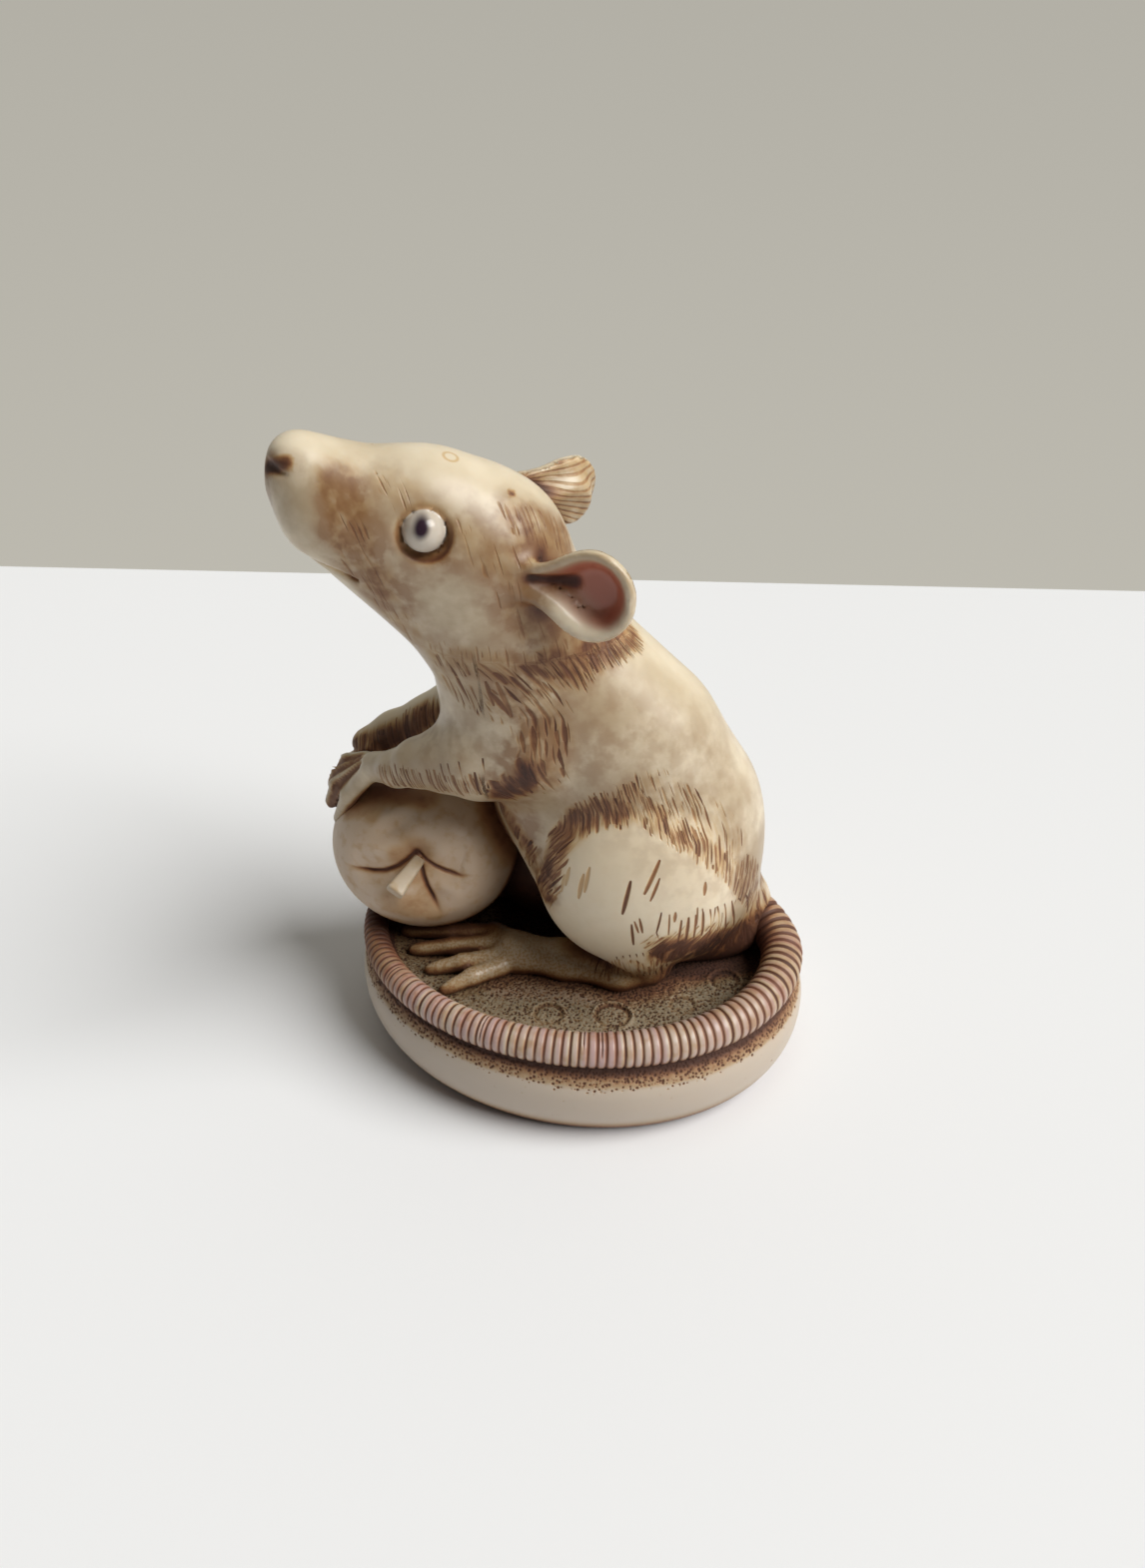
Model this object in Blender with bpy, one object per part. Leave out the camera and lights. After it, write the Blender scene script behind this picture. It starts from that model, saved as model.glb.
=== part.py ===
"""Mouse figurine: a mouse sits up on an oval pebble and holds a fruit between its paws.
Its ringed tail lies round the pebble's rim. Mouse, fruit, tail and pebble are one casting.
Metres, +Z up. The mouse looks along -X, and the origin is the centre of the flat underside."""

from math import cos, exp, pi, radians, sin, tau

import bmesh
import bpy
from mathutils import Matrix, Vector

# Pebble
PEBBLE_LENGTH = 0.0504
PEBBLE_WIDTH = 0.0412
GROUND_HEIGHT = 0.0098
UNDERSIDE_INSET = 0.0026
SHOULDER_INSET = 0.0012
WIDEST_SHARE = 0.68
RIM_RISE = 0.0010
OUTLINE_POINTS = 48
WALL_ROWS = 7

# Tail
TAIL_ROOT_RADIUS = 0.0027
TAIL_FRONT_RADIUS = 0.0017
TAIL_TIP_RADIUS = 0.0007
TAIL_SINK = 0.0008
TAIL_INSET = 0.0004
RING_PITCH = 0.00083
RING_DEPTH = 0.00022
TAIL_SIDES = 7
TAIL_START_ANGLE = 42.0
TAIL_JOIN_ANGLE = 4.0
TAIL_END_ANGLE = -300.0
LAST_RING_ANGLE = -210.0
PLAIN_PITCH = 0.0024

# Figure: its forms are placed on a sculptor's grid of 60 squares to its height
FIGURE_HEIGHT = 0.0600
GRID = FIGURE_HEIGHT / 60
BODY_YAW = 8.0
HEAD_YAW = 28.0
HEAD_PITCH = 23.0
HEAD_ROLL = -9.0
HEAD_CENTRE = (-6.4, -4.6, 47.8)
EAR_FLARE = 30.0
NEAR_EAR_TILT = 17.0
FAR_EAR_TILT = -6.0
EYE_RADIUS = 1.72
EYE_SET = 5.1
EYE_FORWARD = 8.0
EYE_RISE = 2.2
SOCKET_RADIUS = 2.35
SOCKET_SET = 6.0
EAR_CENTRE = (-5.3, 8.9, 3.15)
TAIL_ROOT = (14.5, 8.0, 5.2)

# Fruit on the same grid: middle, radii, the way its stem pit faces, and its lobes' valleys
FRUIT_CENTRE = (-17.9, -0.3, 10.3)
FRUIT_RADII = (10.5, 9.5, 9.3)
FRUIT_AXIS = Vector((0.284, -0.836, 0.47)).normalized()
FRUIT_VALLEYS = ((-170.0, 0.9), (18.0, 0.9), (64.0, 0.7), (-118.0, 0.5))

# Limbs on the same grid: each run of joints goes from the body outwards
NEAR_FINGERS = (
    ((-21.8, -4.4, 21.4), (-24.6, -4.2, 17.8), (-26.6, -3.2, 13.8)),
    ((-22.8, -3.6, 21.2), (-26.4, -3.0, 18.2), (-27.9, -2.3, 15.2)),
    ((-23.2, -2.8, 21.2), (-26.6, -2.2, 19.2), (-27.8, -1.6, 17.0)),
    ((-23.2, -2.2, 21.2), (-25.8, -1.6, 20.2), (-26.9, -1.0, 18.7)),
)
FAR_FINGERS = (
    ((-24.4, 1.4, 20.2), (-26.6, 0.9, 18.4), (-27.9, 0.6, 15.4)),
    ((-24.8, 2.4, 20.0), (-27.2, 2.4, 17.8), (-28.0, 2.2, 14.6)),
    ((-24.6, 3.4, 19.8), (-26.4, 4.2, 17.4), (-27.0, 4.4, 14.2)),
)
FINGER_RADII = (1.1, 0.95, 0.85)
TOES = (
    ((-6.6, -8.0, 1.3), (-9.0, -10.3, 1.2), (-10.8, -11.9, 0.7)),
    ((-7.4, -7.0, 1.5), (-10.8, -8.6, 1.3), (-13.4, -9.6, 0.7)),
    ((-8.6, -5.2, 1.6), (-12.8, -6.4, 1.4), (-16.3, -7.2, 0.7)),
    ((-9.2, -3.4, 1.6), (-14.0, -4.2, 1.4), (-18.4, -4.6, 0.7)),
)
TOE_RADII = (1.2, 1.0, 0.85)
FOOT = ((9.0, -3.4, 1.7), (6.0, -5.0, 1.8), (0.0, -5.4, 1.8), (-5.5, -5.6, 1.6), (-8.5, -3.6, 1.5))
FOOT_RADII = (2.2, 2.3, 2.1, 2.1, 1.5)

# Fineness of the carved surface
BODY_VOXEL = 0.0007
DETAIL_VOXEL = 0.00032
FIGURE_TRIANGLES = 3750


def figure_point(x, y, z):
    """A place on the figure's grid, whose z counts from the ground, in metres."""
    return Vector((x, y, z)) * GRID + Vector((0, 0, GROUND_HEIGHT))


def facing_axes(yaw, pitch=0.0, roll=0.0):
    """Forward, towards the near side, and up, for a form that looks along -X."""
    yaw, pitch, roll = radians(yaw), radians(pitch), radians(roll)
    forward = Vector((-cos(yaw) * cos(pitch), -sin(yaw) * cos(pitch), sin(pitch)))
    level = Vector((sin(yaw), -cos(yaw), 0))
    upright = forward.cross(level)
    near = level * cos(roll) + upright * sin(roll)
    return forward, near, forward.cross(near)


BODY = facing_axes(BODY_YAW)
HEAD = facing_axes(HEAD_YAW, HEAD_PITCH, HEAD_ROLL)


def head_point(forward, near, up):
    """A place on the head, in grid squares along the head's own axes."""
    offset = HEAD[0] * forward + HEAD[1] * near + HEAD[2] * up
    return figure_point(*HEAD_CENTRE) + offset * GRID


def leaning(axes, angle):
    """The same axes tipped back by an angle about the one that points to the near side."""
    forward, near, up = axes
    turn = Matrix.Rotation(radians(angle), 3, near)
    return turn @ forward, near, turn @ up


def add_ball(bm, centre, radii, axes=BODY, subdivisions=4):
    """Adds an ellipsoid whose radii, in grid squares, run along the given axes."""
    scaled = [axis * radius * GRID for axis, radius in zip(axes, radii)]
    matrix = Matrix((scaled[0], scaled[1], scaled[2])).transposed().to_4x4()
    matrix.translation = centre
    bmesh.ops.create_icosphere(bm, subdivisions=subdivisions, radius=1, matrix=matrix)


def add_limb(bm, points, radii):
    """Adds a limb: between each two joints, the hull of a ball at either end."""
    joints = list(zip(points, radii))
    for ends in zip(joints, joints[1:]):
        hull = bmesh.new()
        for centre, radius in ends:
            place = Matrix.Translation(centre)
            bmesh.ops.create_icosphere(hull, subdivisions=3, radius=radius * GRID, matrix=place)
        found = bmesh.ops.convex_hull(hull, input=hull.verts)
        inside = [item for item in found["geom_interior"] if isinstance(item, bmesh.types.BMVert)]
        bmesh.ops.delete(hull, geom=inside, context="VERTS")
        piece = bpy.data.meshes.new("limb")
        hull.to_mesh(piece)
        hull.free()
        bm.from_mesh(piece)
        bpy.data.meshes.remove(piece)


def add_object(name, mesh):
    """Puts a mesh into the scene as an object."""
    obj = bpy.data.objects.new(name, mesh)
    bpy.context.scene.collection.objects.link(obj)
    return obj


def object_from_bmesh(name, bm):
    """Turns a bmesh into an object, with every face pointing outwards."""
    bmesh.ops.recalc_face_normals(bm, faces=bm.faces)
    mesh = bpy.data.meshes.new(name)
    bm.to_mesh(mesh)
    bm.free()
    return add_object(name, mesh)


def settle(obj):
    """Replaces an object's mesh by the mesh that its modifiers make of it."""
    graph = bpy.context.evaluated_depsgraph_get()
    settled = bpy.data.meshes.new_from_object(obj.evaluated_get(graph))
    obj.modifiers.clear()
    obj.data = settled
    return obj


def fuse(obj, voxel, smoothing):
    """Fuses overlapping forms into one skin and softens the creases between them."""
    remesh = obj.modifiers.new("Fuse", "REMESH")
    remesh.mode = "VOXEL"
    remesh.voxel_size = voxel
    if smoothing:
        smooth = obj.modifiers.new("Soften", "SMOOTH")
        smooth.factor = 0.5
        smooth.iterations = smoothing
    return settle(obj)


def boolean(obj, other, operation):
    """Joins another object to this one, or cuts it away, and removes that other object."""
    modifier = obj.modifiers.new(operation.title(), "BOOLEAN")
    modifier.operation = operation
    modifier.solver = "EXACT"
    modifier.object = other
    settle(obj)
    bpy.data.objects.remove(other)
    return obj


def grid_points(*places):
    """Several places on the figure's grid."""
    return [figure_point(*place) for place in places]


def body_form():
    """The broad forms: trunk, belly, thighs, neck, skull, muzzle and upper arms."""
    bm = bmesh.new()
    add_ball(bm, figure_point(8.4, 2.6, 12.7), (10.7, 11.0, 13.0))
    add_ball(bm, figure_point(6.6, 2.2, 18.5), (11.9, 10.4, 11.5))
    add_ball(bm, figure_point(3.4, 1.0, 25.8), (11.2, 9.3, 10.2))
    add_ball(bm, figure_point(-0.8, 3.6, 18.2), (9.8, 8.0, 10.0))
    add_ball(bm, figure_point(-0.8, 0.2, 30.2), (9.6, 8.8, 9.8))
    add_limb(bm, grid_points((3.6, 1.0, 27.0), (-2.8, -1.0, 37.8)), (8.8, 6.9))
    add_limb(bm, grid_points((-5.2, -0.8, 31.2), (-6.4, -3.0, 41.8)), (8.7, 7.9))
    add_limb(bm, grid_points((-2.4, -1.6, 21.0), (0.4, -2.4, 14.0)), (5.6, 5.2))
    add_limb(bm, grid_points((11.0, 4.5, 9.0), (16.6, 6.8, 5.4)), (6.0, 3.2))
    add_ball(bm, figure_point(-4.0, 5.2, 6.5), (7.5, 4.5, 8.0))
    add_ball(bm, figure_point(12.5, 6.5, 2.5), (8.0, 7.0, 4.5))
    for centre in ((7.2, -5.2, 14.3), (5.4, 9.8, 14.0)):
        add_ball(bm, figure_point(*centre), (9.8, 6.3, 10.2), leaning(BODY, 12))
    add_ball(bm, head_point(0.8, 0, -0.4), (7.4, 7.2, 7.2), HEAD)
    add_ball(bm, head_point(6.6, 0, 0.5), (7.4, 5.6, 6.7), HEAD)
    add_limb(bm, (head_point(3, 0, -0.5), head_point(16.2, 0, 0.5)), (7.0, 4.3))
    add_limb(bm, (head_point(0, 0, -6), head_point(11.5, 0, -2.0)), (6.5, 4.8))
    near_arm = grid_points((-3.5, -4.8, 28.6), (-8.4, -6.2, 26.9), (-12.0, -6.2, 25.8), (-15.2, -6.0, 24.7))
    add_limb(bm, near_arm, (5.6, 4.3, 3.2, 2.5))
    far_arm = grid_points((-5.0, 6.0, 29.0), (-12.0, 6.4, 26.5), (-18.5, 4.6, 23.1))
    add_limb(bm, far_arm, (5.8, 4.2, 2.9))
    return fuse(object_from_bmesh("body", bm), BODY_VOXEL, 24)


def add_muzzle(bm):
    """The blunt nose and the two whisker pads."""
    add_ball(bm, head_point(18.0, 0, 1.0), (3.0, 3.2, 3.2), HEAD)
    add_ball(bm, head_point(19.0, 0, 2.3), (2.2, 2.5, 2.1), HEAD)
    for side in (-1, 1):
        add_ball(bm, head_point(15.0, side * 1.9, -1.3), (4.2, 3.2, 3.5), HEAD)


def eyeballs():
    """The two round eyeballs."""
    bm = bmesh.new()
    for side in (-1, 1):
        add_ball(bm, head_point(EYE_FORWARD, side * EYE_SET, EYE_RISE), (EYE_RADIUS,) * 3, HEAD)
    return object_from_bmesh("eyeballs", bm)


def ear_centre(side):
    """The middle of the near ear (1) or of the far ear (-1)."""
    forward, near, up = EAR_CENTRE
    return head_point(forward, side * near, up)


def ear_axes(side):
    """Backwards along the ear, outwards from its open face, and up across it."""
    flare = radians(EAR_FLARE)
    back = -HEAD[0] * cos(flare) + HEAD[1] * side * sin(flare)
    outward = HEAD[0] * sin(flare) + HEAD[1] * side * cos(flare)
    tilt = radians(NEAR_EAR_TILT if side > 0 else FAR_EAR_TILT)
    return back * cos(tilt) + HEAD[2] * sin(tilt), outward, HEAD[2] * cos(tilt) - back * sin(tilt)


def add_ears(bm):
    """The outer shells of the two cupped ears."""
    for side in (-1, 1):
        add_ball(bm, ear_centre(side), (5.0, 2.0, 4.2), ear_axes(side))


def hollows():
    """The hollows of the ears and the round sockets that leave a groove about each eye."""
    bm = bmesh.new()
    for side in (-1, 1):
        back, outward, up = ear_axes(side)
        centre = ear_centre(side) + (outward * 1.6 + back * 0.4) * GRID
        add_ball(bm, centre, (4.0, 2.1, 3.3), (back, outward, up))
        add_ball(bm, head_point(EYE_FORWARD, side * SOCKET_SET, EYE_RISE), (SOCKET_RADIUS,) * 3, HEAD)
    return object_from_bmesh("hollows", bm)


def mirrored(place):
    """The matching place on the far side of the mouse, whose body stands a little askew."""
    x, y, z = place
    middle = 1.6 + 0.1 * x
    return x, 2 * middle - y, z


def add_paws(bm):
    """Both forearms and the fingers that grip the fruit."""
    near_arm = grid_points((-15.2, -6.0, 24.7), (-17.8, -5.6, 23.3), (-22.0, -3.6, 21.6))
    add_limb(bm, near_arm, (2.5, 1.8, 1.9))
    far_arm = grid_points((-18.5, 4.6, 23.1), (-22.5, 3.8, 21.6), (-25.3, 2.8, 20.1))
    add_limb(bm, far_arm, (2.9, 2.2, 1.9))
    for finger in NEAR_FINGERS + FAR_FINGERS:
        add_limb(bm, grid_points(*finger), FINGER_RADII)


def add_feet(bm):
    """The ankles and both long hind feet with four spread toes each."""
    for place in (tuple, mirrored):
        add_limb(bm, grid_points(place((8.0, -6.4, 7.0)), place((8.8, -4.2, 2.6))), (2.8, 2.2))
        add_limb(bm, grid_points(*map(place, FOOT)), FOOT_RADII)
        for toe in TOES:
            add_limb(bm, grid_points(*map(place, toe)), TOE_RADII)


def mouse():
    """The whole mouse without its tail, as one fused skin."""
    bm = bmesh.new()
    body = body_form()
    bm.from_mesh(body.data)
    bpy.data.objects.remove(body)
    add_muzzle(bm)
    add_ears(bm)
    add_paws(bm)
    add_feet(bm)
    figure = fuse(object_from_bmesh("mouse", bm), DETAIL_VOXEL, 2)
    boolean(figure, hollows(), "DIFFERENCE")
    boolean(figure, eyeballs(), "UNION")
    fuse(figure, DETAIL_VOXEL, 1)
    thin = figure.modifiers.new("Thin", "DECIMATE")
    triangles = sum(len(face.vertices) - 2 for face in figure.data.polygons)
    thin.ratio = FIGURE_TRIANGLES / triangles
    return settle(figure)


def loft(name, rows):
    """Joins rows of points, each a closed loop, and caps both ends."""
    bm = bmesh.new()
    loops = [[bm.verts.new(point) for point in row] for row in rows]
    for lower, upper in zip(loops, loops[1:]):
        for i in range(len(lower)):
            j = (i + 1) % len(lower)
            bm.faces.new((lower[i], lower[j], upper[j], upper[i]))
    bm.faces.new(loops[0])
    bm.faces.new(loops[-1])
    return object_from_bmesh(name, bm)


def wall_inset(share):
    """How far the pebble's wall lies inside its widest outline, by share of the ground's height."""
    if share < WIDEST_SHARE:
        return UNDERSIDE_INSET * (1 - share / WIDEST_SHARE) ** 2.4
    return SHOULDER_INSET * ((share - WIDEST_SHARE) / (1 - WIDEST_SHARE)) ** 2


def pebble():
    """The oval pebble: a rounded wall, a low rim under the tail and flat ground inside it."""
    shares = [i / WALL_ROWS for i in range(WALL_ROWS + 1)]
    profile = [(wall_inset(share), share * GROUND_HEIGHT) for share in shares]
    bed = TAIL_INSET + 2 * TAIL_FRONT_RADIUS
    profile.append((bed * 0.5, GROUND_HEIGHT + RIM_RISE))
    profile.append((bed * 0.85, GROUND_HEIGHT + RIM_RISE * 0.5))
    profile.append((bed * 1.05, GROUND_HEIGHT))
    rows = []
    for inset, height in profile:
        a, b = PEBBLE_LENGTH / 2 - inset, PEBBLE_WIDTH / 2 - inset
        angles = [tau * i / OUTLINE_POINTS for i in range(OUTLINE_POINTS)]
        rows.append([(a * cos(angle), b * sin(angle), height) for angle in angles])
    return loft("pebble", rows)


def tail_radius(angle):
    """The tail's radius where it passes an angle round the pebble, in degrees."""
    if angle > -90:
        share = max(0.0, (TAIL_START_ANGLE - angle) / (TAIL_START_ANGLE + 90))
        return TAIL_ROOT_RADIUS + (TAIL_FRONT_RADIUS - TAIL_ROOT_RADIUS) * share ** 0.6
    share = (-90 - angle) / (-90 - TAIL_END_ANGLE)
    return TAIL_FRONT_RADIUS + (TAIL_TIP_RADIUS - TAIL_FRONT_RADIUS) * share


def tail_centre(angle):
    """The tail's middle line: from the rump down to the rim, and then along the rim."""
    radius = tail_radius(angle)
    turn = radians(angle)
    x = (PEBBLE_LENGTH / 2 - TAIL_INSET - radius) * cos(turn)
    y = (PEBBLE_WIDTH / 2 - TAIL_INSET - radius) * sin(turn)
    on_rim = Vector((x, y, GROUND_HEIGHT + RIM_RISE - TAIL_SINK + radius))
    if angle < TAIL_JOIN_ANGLE:
        return on_rim
    share = (angle - TAIL_JOIN_ANGLE) / (TAIL_START_ANGLE - TAIL_JOIN_ANGLE)
    return on_rim.lerp(figure_point(*TAIL_ROOT), share ** 2)


def tail_rows():
    """Places along the middle line, with how deep each lies: rings to begin with, then plain."""
    step = 0.1
    angle, travelled, ring_row = TAIL_START_ANGLE, 0.0, 0
    centre = tail_centre(angle)
    rows = [(angle, 0.0)]
    while angle - step > TAIL_END_ANGLE:
        angle -= step
        following = tail_centre(angle)
        travelled += (following - centre).length
        centre = following
        ringed = angle > LAST_RING_ANGLE
        if travelled >= (RING_PITCH / 2 if ringed else PLAIN_PITCH):
            ring_row += 1
            travelled = 0.0
            rows.append((angle, RING_DEPTH if ringed and ring_row % 2 else 0.0))
    return rows


def tail():
    """The tail, its rows on the crest and in the groove of each ring, and its blunt tip."""
    rows = []
    for angle, depth in tail_rows():
        centre = tail_centre(angle)
        along = (tail_centre(angle - 0.5) - tail_centre(angle + 0.5)).normalized()
        side = along.cross(Vector((0, 0, 1))).normalized()
        up = side.cross(along)
        radius = tail_radius(angle) - depth
        spread = [tau * (i + 0.5) / TAIL_SIDES for i in range(TAIL_SIDES)]
        rows.append([centre + (side * cos(turn) + up * sin(turn)) * radius for turn in spread])
    tip = sum(rows[-1], Vector()) / TAIL_SIDES + along * TAIL_TIP_RADIUS
    rows.append([tip.lerp(point, 0.45) for point in rows[-1]])
    return loft("tail", rows)


def fruit_frame():
    """The stem's direction, and across and down the face that the stem pit is on."""
    across = Vector((0, 0, 1)).cross(FRUIT_AXIS).normalized()
    return FRUIT_AXIS, across, across.cross(FRUIT_AXIS)


def fruit_radius(tilt, turn):
    """The fruit's radius as a share of full, by angle from its axis and angle round it."""
    pit = 0.13 * exp(-(tilt / 0.22) ** 2)
    valley = 0.0
    for middle, depth in FRUIT_VALLEYS:
        gap = (turn - radians(middle) + pi) % tau - pi
        valley += 0.10 * depth * exp(-(gap * sin(tilt) / 0.18) ** 2) * exp(-(tilt / 0.8) ** 2)
    return 1.0 - pit - valley


def fruit():
    """The round fruit with its stem pit, its lobes and its cut stem."""
    axis, across, down = fruit_frame()
    centre = figure_point(*FRUIT_CENTRE)
    radii = Vector(FRUIT_RADII) * GRID
    rings, sides = 13, 30
    bm = bmesh.new()
    loops = []
    for i in range(1, rings):
        tilt = pi * (i / rings) ** 1.25
        loop = []
        for j in range(sides):
            turn = tau * j / sides
            way = axis * cos(tilt) + (across * cos(turn) + down * sin(turn)) * sin(tilt)
            size = fruit_radius(tilt, turn)
            offset = Vector((way.x * radii.x, way.y * radii.y, way.z * radii.z)) * size
            loop.append(bm.verts.new(centre + offset))
        loops.append(loop)
    for inner, outer in zip(loops, loops[1:]):
        for j in range(sides):
            k = (j + 1) % sides
            bm.faces.new((inner[j], inner[k], outer[k], outer[j]))
    bm.faces.new(loops[0])
    bm.faces.new(loops[-1])
    body = object_from_bmesh("fruit", bm)
    foot = centre + axis * 6.6 * GRID
    end = centre + (axis * 9.9 - across * 2.8 + down * 3.0) * GRID
    return boolean(body, stem(foot, end), "UNION")


def stem(foot, end):
    """The stem, a peg that widens a little towards its flat cut end."""
    bm = bmesh.new()
    turn = (end - foot).to_track_quat("Z", "Y").to_matrix().to_4x4()
    place = Matrix.Translation((foot + end) / 2) @ turn
    bmesh.ops.create_cone(bm, cap_ends=True, segments=10, radius1=0.75 * GRID, radius2=1.0 * GRID,
                          depth=(end - foot).length, matrix=place)
    return object_from_bmesh("stem", bm)


def resin():
    """The cast resin's painted colour: warm ivory, satin."""
    material = bpy.data.materials.new("painted_resin")
    material.use_nodes = True
    shader = material.node_tree.nodes["Principled BSDF"]
    shader.inputs["Base Color"].default_value = (0.62, 0.52, 0.38, 1)
    shader.inputs["Roughness"].default_value = 0.42
    shader.inputs["Metallic"].default_value = 0.0
    return material


def main():
    for obj in list(bpy.data.objects):
        bpy.data.objects.remove(obj)
    figurine = pebble()
    figurine.name = "mouse_figurine"
    for piece in (tail(), mouse(), fruit()):
        boolean(figurine, piece, "UNION")
    figurine.data.materials.clear()
    figurine.data.materials.append(resin())
    figurine.data.shade_smooth()
    figurine.data.set_sharp_from_angle(angle=radians(50))


main()
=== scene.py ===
"""Dressed model of the mouse figurine, a single casting in ivory resin with brown stain in its cuts.
Mouse, tail, pebble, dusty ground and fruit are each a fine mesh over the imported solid."""

from math import cos, pi, radians, sin, tau

import bpy
import numpy as np
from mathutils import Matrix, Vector


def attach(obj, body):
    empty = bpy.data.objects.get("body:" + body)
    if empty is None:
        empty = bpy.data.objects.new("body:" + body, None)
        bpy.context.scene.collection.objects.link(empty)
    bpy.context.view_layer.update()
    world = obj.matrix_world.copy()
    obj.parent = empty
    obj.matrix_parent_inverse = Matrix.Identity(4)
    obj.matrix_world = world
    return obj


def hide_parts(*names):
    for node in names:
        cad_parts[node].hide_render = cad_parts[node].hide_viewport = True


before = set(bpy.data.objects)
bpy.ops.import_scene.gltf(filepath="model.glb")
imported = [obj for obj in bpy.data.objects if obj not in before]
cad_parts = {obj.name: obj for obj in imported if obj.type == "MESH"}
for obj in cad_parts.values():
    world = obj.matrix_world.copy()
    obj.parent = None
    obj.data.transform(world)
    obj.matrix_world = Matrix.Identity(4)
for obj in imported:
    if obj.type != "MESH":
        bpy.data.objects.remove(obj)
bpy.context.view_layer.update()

# Sizes are in millimetres, and heights count from the ground that the mouse sits on
MM = 0.001
GROUND_HEIGHT = 9.8
PEBBLE_LENGTH = 50.4
PEBBLE_WIDTH = 41.2
UNDERSIDE_INSET = 2.6
SHOULDER_INSET = 1.2
WIDEST_SHARE = 0.68
RIM_RISE = 1.0
TAIL_BED = 3.8
GROUND_INSET = 2.4
SKIRT_HEIGHT = 2.2

TAIL_ROOT_RADIUS = 2.7
TAIL_FRONT_RADIUS = 1.7
TAIL_TIP_RADIUS = 0.7
TAIL_SINK = 0.8
TAIL_INSET = 0.4
TAIL_START_ANGLE = 42.0
TAIL_JOIN_ANGLE = 4
TAIL_END_ANGLE = -300.0
TAIL_ROOT = (12.5, 6.0, 6.5)
RING_PITCH = 0.86
RING_DEPTH = 0.11
GROOVE_SHARE = 0.30
RING_WANDER = 0.5
FORKED_SHARE = 0.12
FORK_SEED = 4

FRUIT_CENTRE = (-17.9, -0.3, 10.3)
FRUIT_RADII = (10.5, 9.5, 9.3)
FRUIT_AXIS = (0.284, -0.836, 0.47)

HEAD_CENTRE = (-6.4, -4.6, 47.8)
EYE_PLACE = (8.0, 5.1, 2.2)
EYE_RADIUS = 1.78
EAR_PLACE = (-5.3, 8.9, 3.15)
EAR_REACH = 6.5
EAR_FLARE = 30.0
NEAR_EAR_TILT = 17.0
FAR_EAR_TILT = -6.0
HEAD_FUR_SLANT = 52.0

# The camera, and the photograph that it matches
CAMERA_PLACE = (28.8, -98.4, 97.6)
CAMERA_TURN = (57.0, 0.0, 16.76)
FOCAL_PIXELS = 1180
PHOTO_WIDTH = 1146
PHOTO_HEIGHT = 1570

# Spacing and depth of the pits in the wall and in the ground, and the seed of their pattern
WALL_PITS = (0.33, 0.08, 3.0)
GROUND_PITS = (0.30, 0.12, 8.0)

# Fineness: the steps of the grids, and how many points the other pieces have round and along them
FINE_GRID = 0.34
COARSE_GRID = 0.7
THINNING = 1
PEBBLE_COLUMNS = 1060 // THINNING
PEBBLE_ROWS = 46 // THINNING
GROUND_COUNT = 296 // THINNING
FRUIT_RINGS = 150 // THINNING
FRUIT_SIDES = 260 // THINNING
TAIL_SIDES = 30 // THINNING
POINTS_PER_PITCH = 10 / THINNING


def vector(values):
    """A row of numbers to reckon with."""
    return np.array(values, float)


def unit(values):
    """A direction of length 1."""
    values = vector(values)
    return values / np.linalg.norm(values)


def rise(low, high, value):
    """Goes smoothly from 0 at low to 1 at high."""
    share = np.clip((value - low) / (high - low), 0, 1)
    return share * share * (3 - 2 * share)


def facing_axes(yaw, pitch=0.0, roll=0.0):
    """Forward, towards the near side, and up, for a form that looks along -X."""
    yaw, pitch, roll = radians(yaw), radians(pitch), radians(roll)
    forward = vector((-cos(yaw) * cos(pitch), -sin(yaw) * cos(pitch), sin(pitch)))
    level = vector((sin(yaw), -cos(yaw), 0))
    near = level * cos(roll) + np.cross(forward, level) * sin(roll)
    return np.array((forward, near, np.cross(forward, near)))


def leaning(axes, angle):
    """The same axes tipped back by an angle about the one that points to the near side."""
    forward, near, up = axes
    c, s = cos(radians(angle)), sin(radians(angle))
    return np.array((forward * c + np.cross(near, forward) * s, near, up * c + np.cross(near, up) * s))


def mirrored_over(points, middle, normal):
    """Points reflected in a plane."""
    return points - 2 * ((points - middle) @ normal)[:, None] * normal


BODY = facing_axes(8)
HEAD = facing_axes(28, 23, -9)
BODY_MIDDLE = vector((6.6, 2.3, 0))

# From heights above the ground to heights above the table
LIFT = vector((0, 0, GROUND_HEIGHT))


def head_point(forward, near, up):
    """A place on the head, along the head's own axes."""
    return vector(HEAD_CENTRE) + vector((forward, near, up)) @ HEAD


def on_head_axes(points):
    """How far forward, near and up points lie from the middle of the head."""
    return ((points - vector(HEAD_CENTRE)) @ HEAD.T).T


def eye_centre(side):
    """The middle of an eyeball."""
    forward, near, up = EYE_PLACE
    return head_point(forward, side * near, up)


def ear_axes(side):
    """Backwards along the ear, outwards from its open face, and up across it."""
    c, s = cos(radians(EAR_FLARE)), sin(radians(EAR_FLARE))
    back, out = -HEAD[0] * c + HEAD[1] * side * s, HEAD[0] * s + HEAD[1] * side * c
    tilt = radians(NEAR_EAR_TILT if side > 0 else FAR_EAR_TILT)
    return np.array((back * cos(tilt) + HEAD[2] * sin(tilt), out, HEAD[2] * cos(tilt) - back * sin(tilt)))


def far_side(place):
    """The matching place on the far side of the mouse, whose body stands a little askew."""
    x, y, z = place
    return x, 2 * (1.6 + 0.1 * x) - y, z


# Solid forms, each of which tells how far points lie outside it


def soft_least(a, b, blend):
    """The lesser of two distances, rounded off where they are nearly the same."""
    if blend <= 0:
        return np.minimum(a, b)
    overlap = np.maximum(blend - np.abs(a - b), 0) / blend
    return np.minimum(a, b) - overlap * overlap * (blend / 4)


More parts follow.
